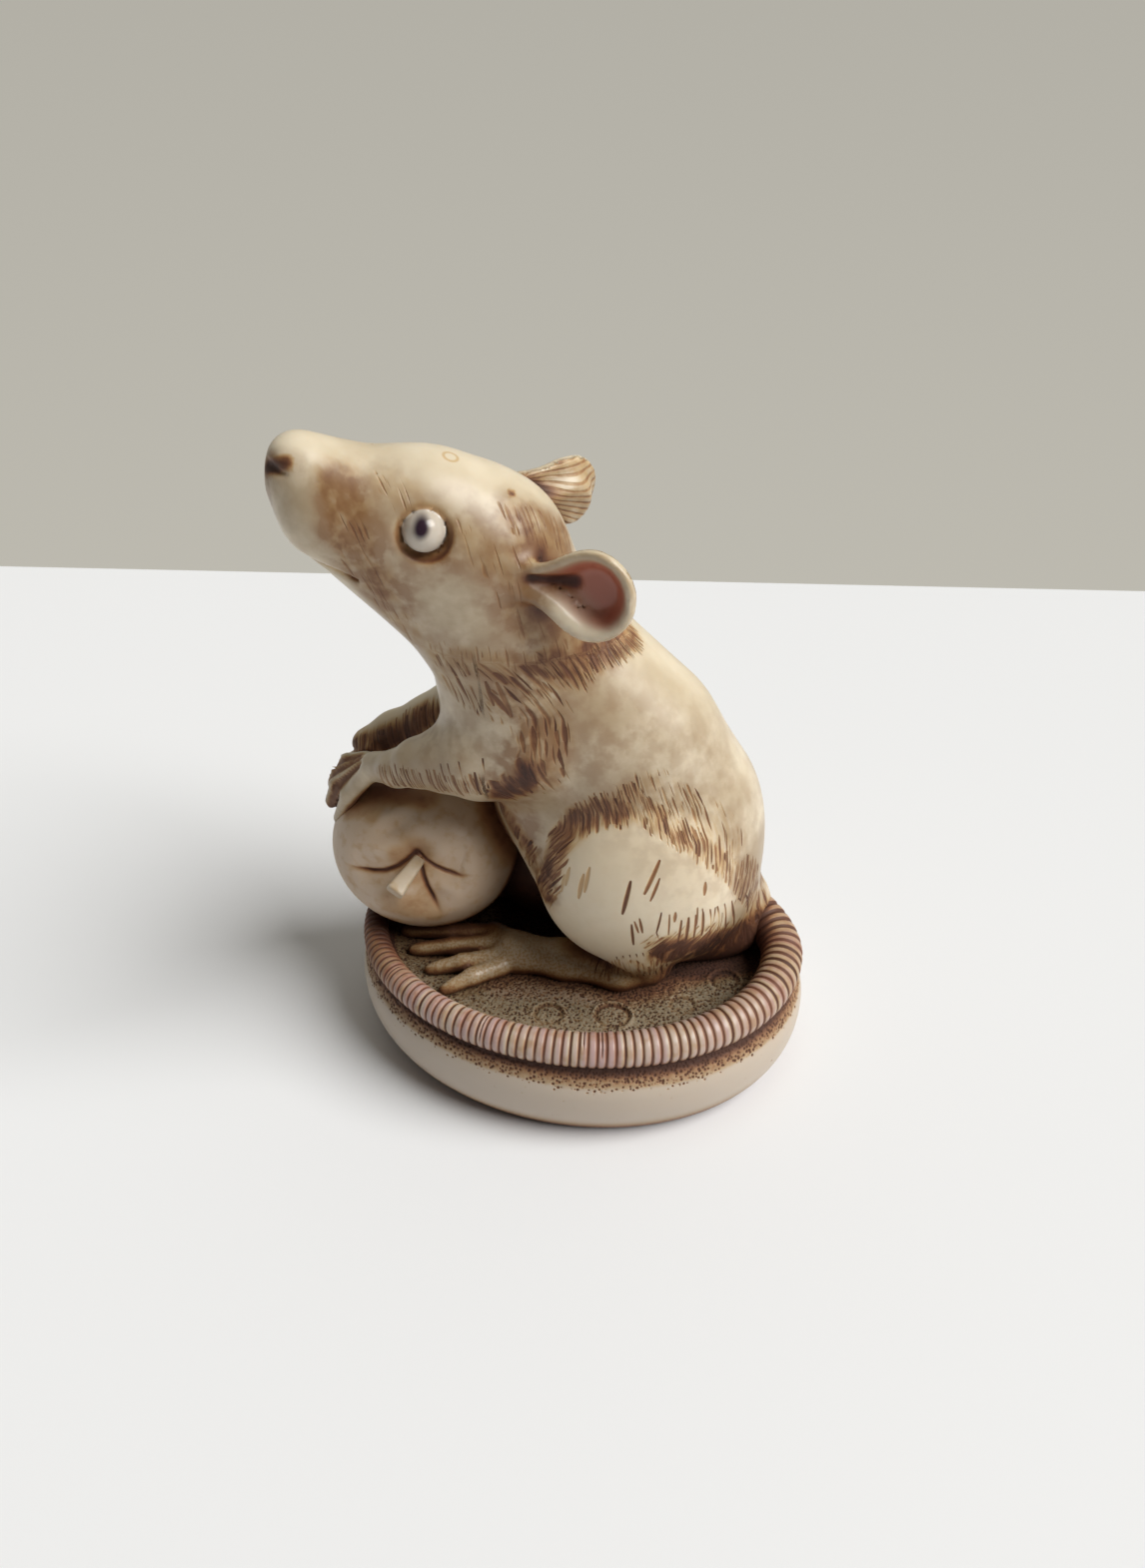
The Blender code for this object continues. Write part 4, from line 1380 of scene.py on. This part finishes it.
# Rows of short strokes at the heel and on the rump: both ends of the first in pixels, the steps to the
# ends of the next, how many there are, half the width of the first and of the second, and their strength
STROKE_ROWS = (
    ((617, 958), (626, 979), (6.6, -0.9), (6.2, -0.7), 9, (0.16, 0.16), 1.0),
    ((678, 944), (682, 922), (8.0, -2.4), (7.2, -2.8), 10, (0.2, 0.26), 0.9),
)
STROKE_GIRTH = 0.8


def all_strokes():
    """Both ends, half the width and the strength of each stroke, alone or in a row."""
    for x, y, end_x, end_y, width, strength in STROKES:
        yield (x, y), (end_x, end_y), width, strength
    for first, first_end, step, end_step, count, widths, strength in STROKE_ROWS:
        for k in range(count):
            start, end = vector(first) + k * vector(step), vector(first_end) + k * vector(end_step)
            yield start, end, widths[k % 2], strength


def strokes(board, place):
    """Masks of the strokes, on the near side and on the far side."""
    offset = board.vector("SUBTRACT", place, tuple(BODY_MIDDLE))
    over = board.maths("MINIMUM", board.dot(offset, BODY[1]), 0.0)
    near = board.vector("SUBTRACT", place, board.scaled(tuple(BODY[1]), 2 * over))
    for start, end, width, strength in all_strokes():
        ends = MOUSE_CLAY.seen_at((start, end)) + LIFT
        yield stroke(board, near, *ends, STROKE_GIRTH * width) * strength


# Colours in pairs are two that a broad noise mixes
IVORY = ((0.74, 0.65, 0.495), (0.61, 0.51, 0.355))
CLEAN_IVORY = (0.79, 0.68, 0.51)
# The grey below is multiplied in as painted shade where the surface does not face up
SIDE_SHADE_GREY = (0.655, 0.60, 0.55)
# The brown haze is partly stain and partly painted shade
BROWN_HAZE = (0.29, 0.18, 0.10)
FOOT_DUST = (0.46, 0.355, 0.235)
EAR_RED = (0.40, 0.13, 0.08)
EYE_WHITE = (0.54, 0.48, 0.405)
PUPIL = (0.03, 0.015, 0.025)
RING_PINK = ((0.46, 0.315, 0.30), (0.54, 0.455, 0.365))
CREAM = ((0.55, 0.465, 0.38), (0.50, 0.415, 0.33))
DUST = ((0.275, 0.22, 0.15), (0.19, 0.15, 0.095))
HEEL_DUST = (0.32, 0.225, 0.16)
RING_DUST = (0.36, 0.29, 0.21)
TAN = ((0.60, 0.465, 0.345), (0.51, 0.385, 0.27))
STEM_TAN = (0.54, 0.46, 0.355)

# A faint ring on the crown: its middle in pixels of the photograph, and its radius
CROWN_MARK = (451, 457)
CROWN_MARK_RADIUS = 0.62

# Layers of carved hairs: width and length of a cell, softness, shift of the pattern, density and depth
TRUNK_HAIRS = (
    (1.05, 3.0, 0.2, (0, 0, 0), 1.0, 0.9),
    (0.72, 2.3, 0.14, (5.3, 2.7, 0), 0.9, 1.0),
    (0.46, 2.0, 0.16, (3.1, 6.2, 0), 0.8, 0.6),
)
HEAD_HAIRS = (
    (0.8, 2.9, 0.24, (1.7, 8.1, 0), 1.0, 0.55),
    (0.46, 2.4, 0.18, (9.2, 3.4, 0), 1.0, 0.5),
)


def fur(board, place, fine):
    """Mask of all carved hairs, of the lines on the ears' backs and of the strokes."""
    drift = board.vector("SUBTRACT", board.noise(place, 4.0, out="Color"), (0.5,) * 3)
    wobble = board.vector("MULTIPLY", drift, (0.45, 0.45, 0))
    patchy = 0.7 + 0.7 * board.smooth(board.noise(place, 2.2, 1.0), 0.38, 0.62)
    lines = board.from_half(board.part(board.kept("head_lay", "Vector"), "X") / 0.6 + fine * 0.12)
    hair = board.smooth(lines, 0.26, 0.06) * board.kept("ear_back") * (0.85 * fine)
    for region, rows in (("trunk", TRUNK_HAIRS), ("head", HEAD_HAIRS)):
        lay = board.vector("ADD", board.kept(region + "_lay", "Vector"), wobble)
        density = board.kept(region + "_hairs") * patchy
        for width, length, softness, shift, share, depth in rows:
            layer = carved_hairs(board, lay, width, length, softness, shift, density * share) * depth
            hair = board.maths("MAXIMUM", hair, layer)
    for layer in strokes(board, place):
        hair = board.maths("MAXIMUM", hair, layer)
    return hair


def mouse_finish(board, place):
    """Ivory resin with carved, stained fur, reddish ears, dusty feet, painted eyes, and painted shade on its
    sides, in its hollows and in its gaps.
    """
    broad = board.noise(place, 9.0)
    fine = board.noise(place, 1.1, 4.0)
    hair = fur(board, place, fine)
    ball, groove, pupil = eye_layers(board, place)
    open_skin = 1 - ball
    streaks = board.vector("MULTIPLY", board.kept("wash_lay", "Vector"), (1.5, 0.35, 0))
    streaks = board.noise(streaks, 1.0, 2.5)
    # Near-black hair edges, partly stain and partly painted shade low on the rump and under the arm
    fringe = board.within(board.kept("fringe") * (0.55 + 1.1 * board.smooth(streaks, 0.3, 0.65)))
    # Wash in the fur: stain, with painted shade low on the rump and under the arm
    wash = board.kept("wash")
    wash = board.within(wash * board.smooth(streaks + (broad - 0.5) * 0.5, 0.28, 0.68) + wash * wash * 0.35)
    # Stain pooled in hollows, and painted shade where the surroundings hem the surface in
    pooled_stain_and_shade = board.smooth(board.kept("shelter"), 0.10, 0.85) * (1 - 0.8 * groove)
    mottle = board.smooth(board.noise(place, 1.7, 3.0), 0.36, 0.64)
    # Soft brown haze: partly stain and partly painted shade
    haze = board.within(board.kept("haze") * (0.6 + 1.1 * mottle))
    dust = board.kept("dust")
    grit = board.smooth(board.noise(place, 0.26, 3.0), 0.58, 0.38) * dust * 0.32
    crown = tuple(MOUSE_CLAY.seen_at([CROWN_MARK])[0] + LIFT)
    from_mark = board.between(place, crown) - CROWN_MARK_RADIUS
    mark = board.smooth(board.maths("ABSOLUTE", from_mark), 0.22, 0.04) * 0.26
    # The near-black layer below is partly stain and partly painted shade in holes and gaps
    stain = together(
        pooled_stain_and_shade * 0.9, wash * 0.72, hair * 0.94, board.kept("soot"), fringe, groove * 0.34, grit, mark,
        specks(board, place),
    )
    clean = board.kept("clean")
    # Painted shade on surfaces that do not face up, less on the thighs
    patina = board.kept("patina") * board.smooth(broad + (fine - 0.5) * 0.3, 0.2, 0.6) * (1 - 0.85 * clean)
    ivory = board.blend(board.smooth(broad, 0.35, 0.65), *IVORY)
    ivory = board.blend(clean * (0.45 + 0.5 * broad), ivory, CLEAN_IVORY)
    ivory = board.blend(patina, ivory, SIDE_SHADE_GREY, "MULTIPLY")
    ivory = board.blend(haze, ivory, BROWN_HAZE)
    ivory = board.blend(dust * 0.88, ivory, FOOT_DUST)
    ivory = board.blend(board.kept("flush"), ivory, EAR_RED)
    skin = stained_and_shaded(board, ivory, stain + (fine - 0.5) * 0.10)
    colour = board.blend(ball, skin, board.blend(pupil, EYE_WHITE, PUPIL))
    return colour, 0.33 + 0.32 * stain * open_skin - 0.12 * ball, fine * 0.12 - hair * open_skin, 0.11


def tail_finish(board, place):
    """Cream-pink rings parted by dark stained grooves."""
    phase = board.kept("ring_phase")
    from_groove = board.from_half(phase)
    wander = (board.noise(place, 0.9) - 0.5) * 0.1
    worn = board.noise(place, 3.5, 1.0)
    wider = board.kept("root") * 0.15 - (worn - 0.5) * 0.16
    groove = board.smooth(from_groove + wander * 0.6 - wider, 0.18, 0.06)
    split = board.smooth(0.5 - from_groove + wander, 0.09, 0.03) * board.kept("fork")
    number = board.maths("FLOOR", phase)
    tone = board.add("ShaderNodeTexWhiteNoise", {"noise_dimensions": "1D"}, {"W": number})
    broad = board.noise(place, 6.0)
    ring = board.blend(board.within((broad - 0.5) * 2.0 + tone * 0.9), *RING_PINK)
    # Stain pooled in hollows, and painted shade where the surroundings hem the tail in
    pooled_stain_and_shade = board.smooth(board.kept("shelter"), 0.10, 0.55)
    deep = board.maths("MAXIMUM", groove * (0.66 + 0.34 * tone), split)
    halo = board.smooth(from_groove, 0.34, 0.12) * 0.22
    blots = board.smooth(board.noise(place, 1.6, 2.0), 0.45, 0.7) * 0.22
    stain = together(deep * 0.98, pooled_stain_and_shade * 0.9, halo, blots, board.kept("wash") * (0.7 + 0.6 * broad))
    return stained_and_shaded(board, ring, stain), 0.36 + 0.3 * stain, 0 - deep, 0.05


def pebble_finish(board, place):
    """Smooth cream resin, brown and pitted under the tail, with a painted shadow line along the wall's top
    just under it.
    """
    pitting = board.kept("pitting")
    pit = pits(board, board.add("ShaderNodeTexCoord", out="Object"), WALL_PITS[0] * MM, WALL_PITS[2], pitting)
    fine = board.noise(place, 0.45, 3.0)
    # Stain pooled in hollows, and painted shade where the surroundings hem the wall in
    pooled_stain_and_shade = board.smooth(board.kept("shelter"), 0.15, 0.7)
    # A brown film of stain near the wall's top, and a painted shadow line just under the tail
    film_and_shadow = board.smooth(pitting, 0.2, 1.0) * 0.36 * (0.2 + 1.4 * fine) + board.kept("line") * 0.75
    cream = board.blend(board.noise(place, 10.0), *CREAM)
    stain = together(pit * 0.93, board.within(film_and_shadow), pooled_stain_and_shade * 0.85, specks(board, place))
    return stained_and_shaded(board, cream, stain), 0.42 + 0.3 * stain, fine * 0.1 - pit, 0.05


def ground_finish(board, place):
    """Grey-brown dust held in a stippled surface, with darker pits, and painted shade in its hollows, in the
    corner by the tail's root and under the belly.
    """
    metres = board.add("ShaderNodeTexCoord", out="Object")
    pit = pits(board, metres, GROUND_PITS[0] * MM, GROUND_PITS[2], board.kept("pitting"))
    fine = board.noise(place, 0.30, 4.0)
    dust = board.blend(board.noise(place, 3.0), *DUST)
    dust = board.blend(board.kept("heel") * 0.8, dust, HEEL_DUST)
    dust = board.blend(board.kept("ring_rim") * 0.45, dust, RING_DUST)
    # Stain pooled in hollows, and painted shade where the mouse and the tail hem the ground in
    pooled_stain_and_shade = board.smooth(board.kept("shelter"), 0.2, 0.85)
    grain = board.smooth(fine, 0.5, 0.32) * 0.55
    stain = together(pit * 0.92, board.kept("ring_mark") * 0.85, pooled_stain_and_shade * 0.8, board.kept("soot"), grain)
    return stained_and_shaded(board, dust, stain), 0.75 + 0.15 * stain, fine * 0.6 - pit * 0.7, 0.10


def fruit_finish(board, place):
    """Tan-ivory resin, dark in the creases with stain and painted shade beside them, and smudged and shaded
    under the paw.
    """
    broad, fine = board.noise(place, 6.0), board.noise(place, 1.2, 4.0)
    peg_part, near_crease = board.kept("peg"), board.kept("crease")
    # Stain pooled in hollows, and painted shade where the paw and the mouse hem the fruit in
    pooled_stain_and_shade = board.smooth(board.kept("shelter"), 0.2, 0.95) * (1 - 0.85 * peg_part)
    crease = board.smooth(near_crease, 0.3, 0.85)
    # Beside the creases: stain spreading from them and painted shade
    beside = board.smooth(near_crease, 0.0, 0.5)
    # Smudges under the paw and at the bottom: partly stain and partly painted shade
    smudge_and_shade = board.within(board.kept("stain") * (0.5 + broad))
    tan = board.blend(peg_part, board.blend(broad, *TAN), STEM_TAN)
    mottled = board.smooth(fine, 0.45, 0.75) * 0.16
    stain = together(
        crease * 0.93, beside * 0.35, pooled_stain_and_shade * 0.9, smudge_and_shade * 0.8, board.kept("soot"), mottled,
        specks(board, place),
    )
    skin = stained_and_shaded(board, tan, stain + (fine - 0.5) * 0.12)
    return skin, 0.42 + 0.25 * stain, fine * 0.15, 0.06


# Geometry node groups


def new_group(name, inputs):
    """An empty geometry node group with named inputs, and its board, start and end."""
    group = bpy.data.node_groups.new(name, "GeometryNodeTree")
    group.interface.new_socket("Geometry", in_out="OUTPUT", socket_type="NodeSocketGeometry")
    group.interface.new_socket("Geometry", in_out="INPUT", socket_type="NodeSocketGeometry")
    for title, kind in inputs:
        group.interface.new_socket(title, in_out="INPUT", socket_type="NodeSocket" + kind)
    board = Board(group)
    return group, board, board.add("NodeGroupInput", out="Geometry"), group.nodes.new("NodeGroupOutput")


def grown(obj, group, sizes):
    """Runs a node group on an object and keeps what it makes as a plain mesh."""
    modifier = obj.modifiers.new("Grow", "NODES")
    modifier.node_group = group
    for item in group.interface.items_tree:
        if item.name in sizes:
            modifier[item.identifier] = sizes[item.name]
    graph = bpy.context.evaluated_depsgraph_get()
    made = bpy.data.meshes.new_from_object(
        obj.evaluated_get(graph), preserve_all_data_layers=True, depsgraph=graph
    )
    obj.modifiers.clear()
    obj.data = made
    return obj


def ended(board, wire, start, end):
    """Closes a group: what it made is realised, smoothed and given its material."""
    wire = board.add("GeometryNodeRealizeInstances", values={"Geometry": wire})
    wire = board.add("GeometryNodeSetShadeSmooth", values={"Geometry": wire})
    values = {"Geometry": wire, "Material": start.also("Material")}
    board.feed(end.inputs[0], board.add("GeometryNodeSetMaterial", values=values))


def kept_field(board, name):
    """A number kept on the points of the geometry that comes in."""
    return board.add("GeometryNodeInputNamedAttribute", {"data_type": "FLOAT"}, {"Name": name})


def keep(board, geometry, name, value):
    """Keeps a number on the geometry's points."""
    values = {"Geometry": geometry, "Name": name, "Value": value}
    return board.add("GeometryNodeStoreNamedAttribute", {"data_type": "FLOAT", "domain": "POINT"}, values)


def pushed(board, geometry, amount):
    """Moves a surface out along its normals."""
    push = board.scaled(board.add("GeometryNodeInputNormal"), amount)
    return board.add("GeometryNodeSetPosition", values={"Geometry": geometry, "Offset": push})


def lot(board, number, seed):
    """A random number for each whole number."""
    values = {"ID": number, "Seed": seed}
    return board.add("FunctionNodeRandomValue", {"data_type": "FLOAT"}, values, "Value_001")


def ringed_tail_group():
    """A tube swept along the tail's line, cut by a groove at every pitch, some grooves forked."""
    titles = ("Ring Pitch", "Ring Depth", "Groove Share", "Wander", "Forked Share")
    inputs = [(title, "Float") for title in titles]
    inputs += [("Sides", "Int"), ("Seed", "Int"), ("Material", "Material")]
    group, board, start, end = new_group("ringed_tail", inputs)
    pitch, depth, groove_share, wander, forked_share = (start.also(title) for title in titles)
    sides, seed = start.also("Sides"), start.also("Seed")
    line = board.add("GeometryNodeMeshToCurve", values={"Mesh": start})
    values = {"Vector": board.add("GeometryNodeInputPosition"), "Scale": 260.0, "Detail": 1.0}
    drift = board.add("ShaderNodeTexNoise", values=values, out="Fac")
    line = keep(board, line, "ring_phase", kept_field(board, "travel") / pitch + (drift - 0.5) * wander)
    circle = board.add("GeometryNodeCurvePrimitiveCircle", values={"Resolution": sides, "Radius": 1.0})
    circle = keep(board, circle, "turn", board.add("GeometryNodeInputIndex") / sides)
    values = {"Curve": line, "Profile Curve": circle, "Scale": kept_field(board, "girth"), "Fill Caps": True}
    tube = board.add("GeometryNodeCurveToMesh", values=values)
    phase, turn = kept_field(board, "ring_phase"), kept_field(board, "turn")
    tube = keep(board, tube, "ring_phase", phase + board.maths("SINE", turn * tau + phase * 0.07) * 0.09)
    number = board.maths("FLOOR", phase + 0.5)
    reach = board.smooth(board.maths("COSINE", (turn - lot(board, number, seed + 7)) * tau), 0.0, 0.35)
    forked = board.smooth(forked_share - lot(board, number, seed), 0.0, 0.01) * reach
    tube = keep(board, tube, "fork", forked)
    from_groove = board.from_half(phase)
    half = groove_share / 2
    groove = board.smooth(from_groove, half * 1.7, half * 0.3)
    split = board.smooth(0.5 - from_groove, half * 1.2, half * 0.2) * kept_field(board, "fork")
    crest = board.smooth(from_groove, 0.1, 0.5) * 0.15
    tube = pushed(board, tube, (crest - board.maths("MAXIMUM", groove, split)) * depth)
    ended(board, tube, start, end)
    return group


def pitted_group():
    """Small pits pressed into a surface, as thickly as its own pitting asks."""
    inputs = (("Pit Spacing", "Float"), ("Pit Depth", "Float"), ("Seed", "Float"), ("Material", "Material"))
    group, board, start, end = new_group("pitted", inputs)
    place = board.add("GeometryNodeInputPosition")
    pit = pits(board, place, start.also("Pit Spacing"), start.also("Seed"), kept_field(board, "pitting"))
    surface = keep(board, start, "pit", pit)
    surface = pushed(board, surface, -kept_field(board, "pit") * start.also("Pit Depth"))
    ended(board, surface, start, end)
    return group


def pitted(obj, sizes, material):
    """Presses pits into a piece."""
    spacing, depth, seed = sizes
    sizes = {"Pit Spacing": spacing * MM, "Pit Depth": depth * MM, "Seed": seed, "Material": material}
    return grown(obj, pitted_group(), sizes)


# The set

SENSOR = 36

# The table: where its far edge meets the sides of the photograph, in pixels, and how deep it is
TABLE_EDGE = ((0, 567), (PHOTO_WIDTH, 592))
TABLE_DEPTH = 1500
TABLE_WHITE = (0.83, 0.845, 0.875, 1)
TABLE_ROUGHNESS = 0.6

# The window's light: its colour, its strength and how soft its shadows are, in degrees
DAYLIGHT = (1.0, 0.985, 0.95)
DAYLIGHT_STRENGTH = 3.6
DAYLIGHT_SPREAD = 40

# The wall behind the figurine, low down and high up, and the room behind the camera
WALL_GREY = ((0.52, 0.50, 0.44), (0.40, 0.385, 0.34))
ROOM_GREY = (0.06, 0.057, 0.053)


def make_camera():
    """The camera at the photograph's angle."""
    data = bpy.data.cameras.new("camera")
    data.sensor_width = SENSOR
    data.lens = SENSOR * FOCAL_PIXELS / PHOTO_HEIGHT
    data.clip_start = 0.005
    data.clip_end = 20
    camera = placed("camera", data)
    camera.location = vector(CAMERA_PLACE) * MM
    camera.rotation_euler = [radians(angle) for angle in CAMERA_TURN]
    bpy.context.scene.camera = camera


def make_floor():
    """A plain white table top that ends behind the figurine, as wide as any view needs."""
    left, right = on_level(TABLE_EDGE, -GROUND_HEIGHT)
    far = [left - 4 * (right - left), right + 4 * (right - left)]
    near = [corner - unit(VIEW_AHEAD * (1, 1, 0)) * TABLE_DEPTH for corner in far]
    floor = make_piece("floor", [near[0], near[1], far[1], far[0]], [[0, 1, 2, 3]])
    material, sockets = new_material("white_table")
    sockets["Base Color"].default_value = TABLE_WHITE
    sockets["Roughness"].default_value = TABLE_ROUGHNESS
    floor.data.materials.append(material)


def make_light():
    """Soft daylight from the right and behind, and a grey room that is darker behind the camera."""
    data = bpy.data.lights.new("window", "SUN")
    data.energy = DAYLIGHT_STRENGTH
    data.angle = radians(DAYLIGHT_SPREAD)
    data.color = DAYLIGHT
    behind = unit(VIEW_AHEAD * (1, 1, 0))
    from_window = Vector(VIEW_RIGHT * 0.62 - behind * 0.26 + vector((0, 0, 0.74)))
    window = placed("window", data)
    window.rotation_mode = "QUATERNION"
    window.rotation_quaternion = from_window.to_track_quat("Z", "Y")
    world = bpy.data.worlds.new("room")
    world.use_nodes = True
    bpy.context.scene.world = world
    board = Board(world.node_tree)
    way = board.add("ShaderNodeTexCoord", out="Generated")
    wall = board.blend(board.smooth(board.part(way, "Z"), -0.6, 0.5), *WALL_GREY)
    colour = board.blend(board.smooth(board.dot(way, behind), -0.35, 0.6), ROOM_GREY, wall)
    board.feed(world.node_tree.nodes["Background"].inputs["Color"], colour)
    bpy.context.scene.view_settings.view_transform = "Standard"


make_camera()
make_floor()
make_light()

ALL_CLAY = surroundings()
MOUSE_CLAY = Clay(*MOUSE_BOX, FINE_GRID, MOUSE_REACH)
carve_mouse(MOUSE_CLAY)

finishes = {
    "mouse": mouse_finish,
    "tail": tail_finish,
    "pebble": pebble_finish,
    "ground": ground_finish,
    "fruit": fruit_finish,
}
finishes = {name: resin("resin_" + name, dress) for name, dress in finishes.items()}
tail_sizes = {
    "Ring Pitch": RING_PITCH * MM,
    "Ring Depth": RING_DEPTH * MM,
    "Groove Share": GROOVE_SHARE,
    "Wander": RING_WANDER,
    "Forked Share": FORKED_SHARE,
    "Sides": TAIL_SIDES,
    "Seed": FORK_SEED,
    "Material": finishes["tail"],
}

mouse_piece = mouse(MOUSE_CLAY)
fruit_piece = fruit()
mouse_piece.data.materials.append(finishes["mouse"])
fruit_piece.data.materials.append(finishes["fruit"])
tail_piece = grown(tail_line(), ringed_tail_group(), tail_sizes)
pebble_piece = pitted(pebble(), WALL_PITS, finishes["pebble"])
ground_piece = pitted(ground(), GROUND_PITS, finishes["ground"])
for piece in (tail_piece, pebble_piece, ground_piece):
    store(piece, shelter=shelter(*surface_of(piece)))

for piece in (mouse_piece, tail_piece, pebble_piece, ground_piece, fruit_piece):
    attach(piece, "root")
    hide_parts("mouse_figurine")
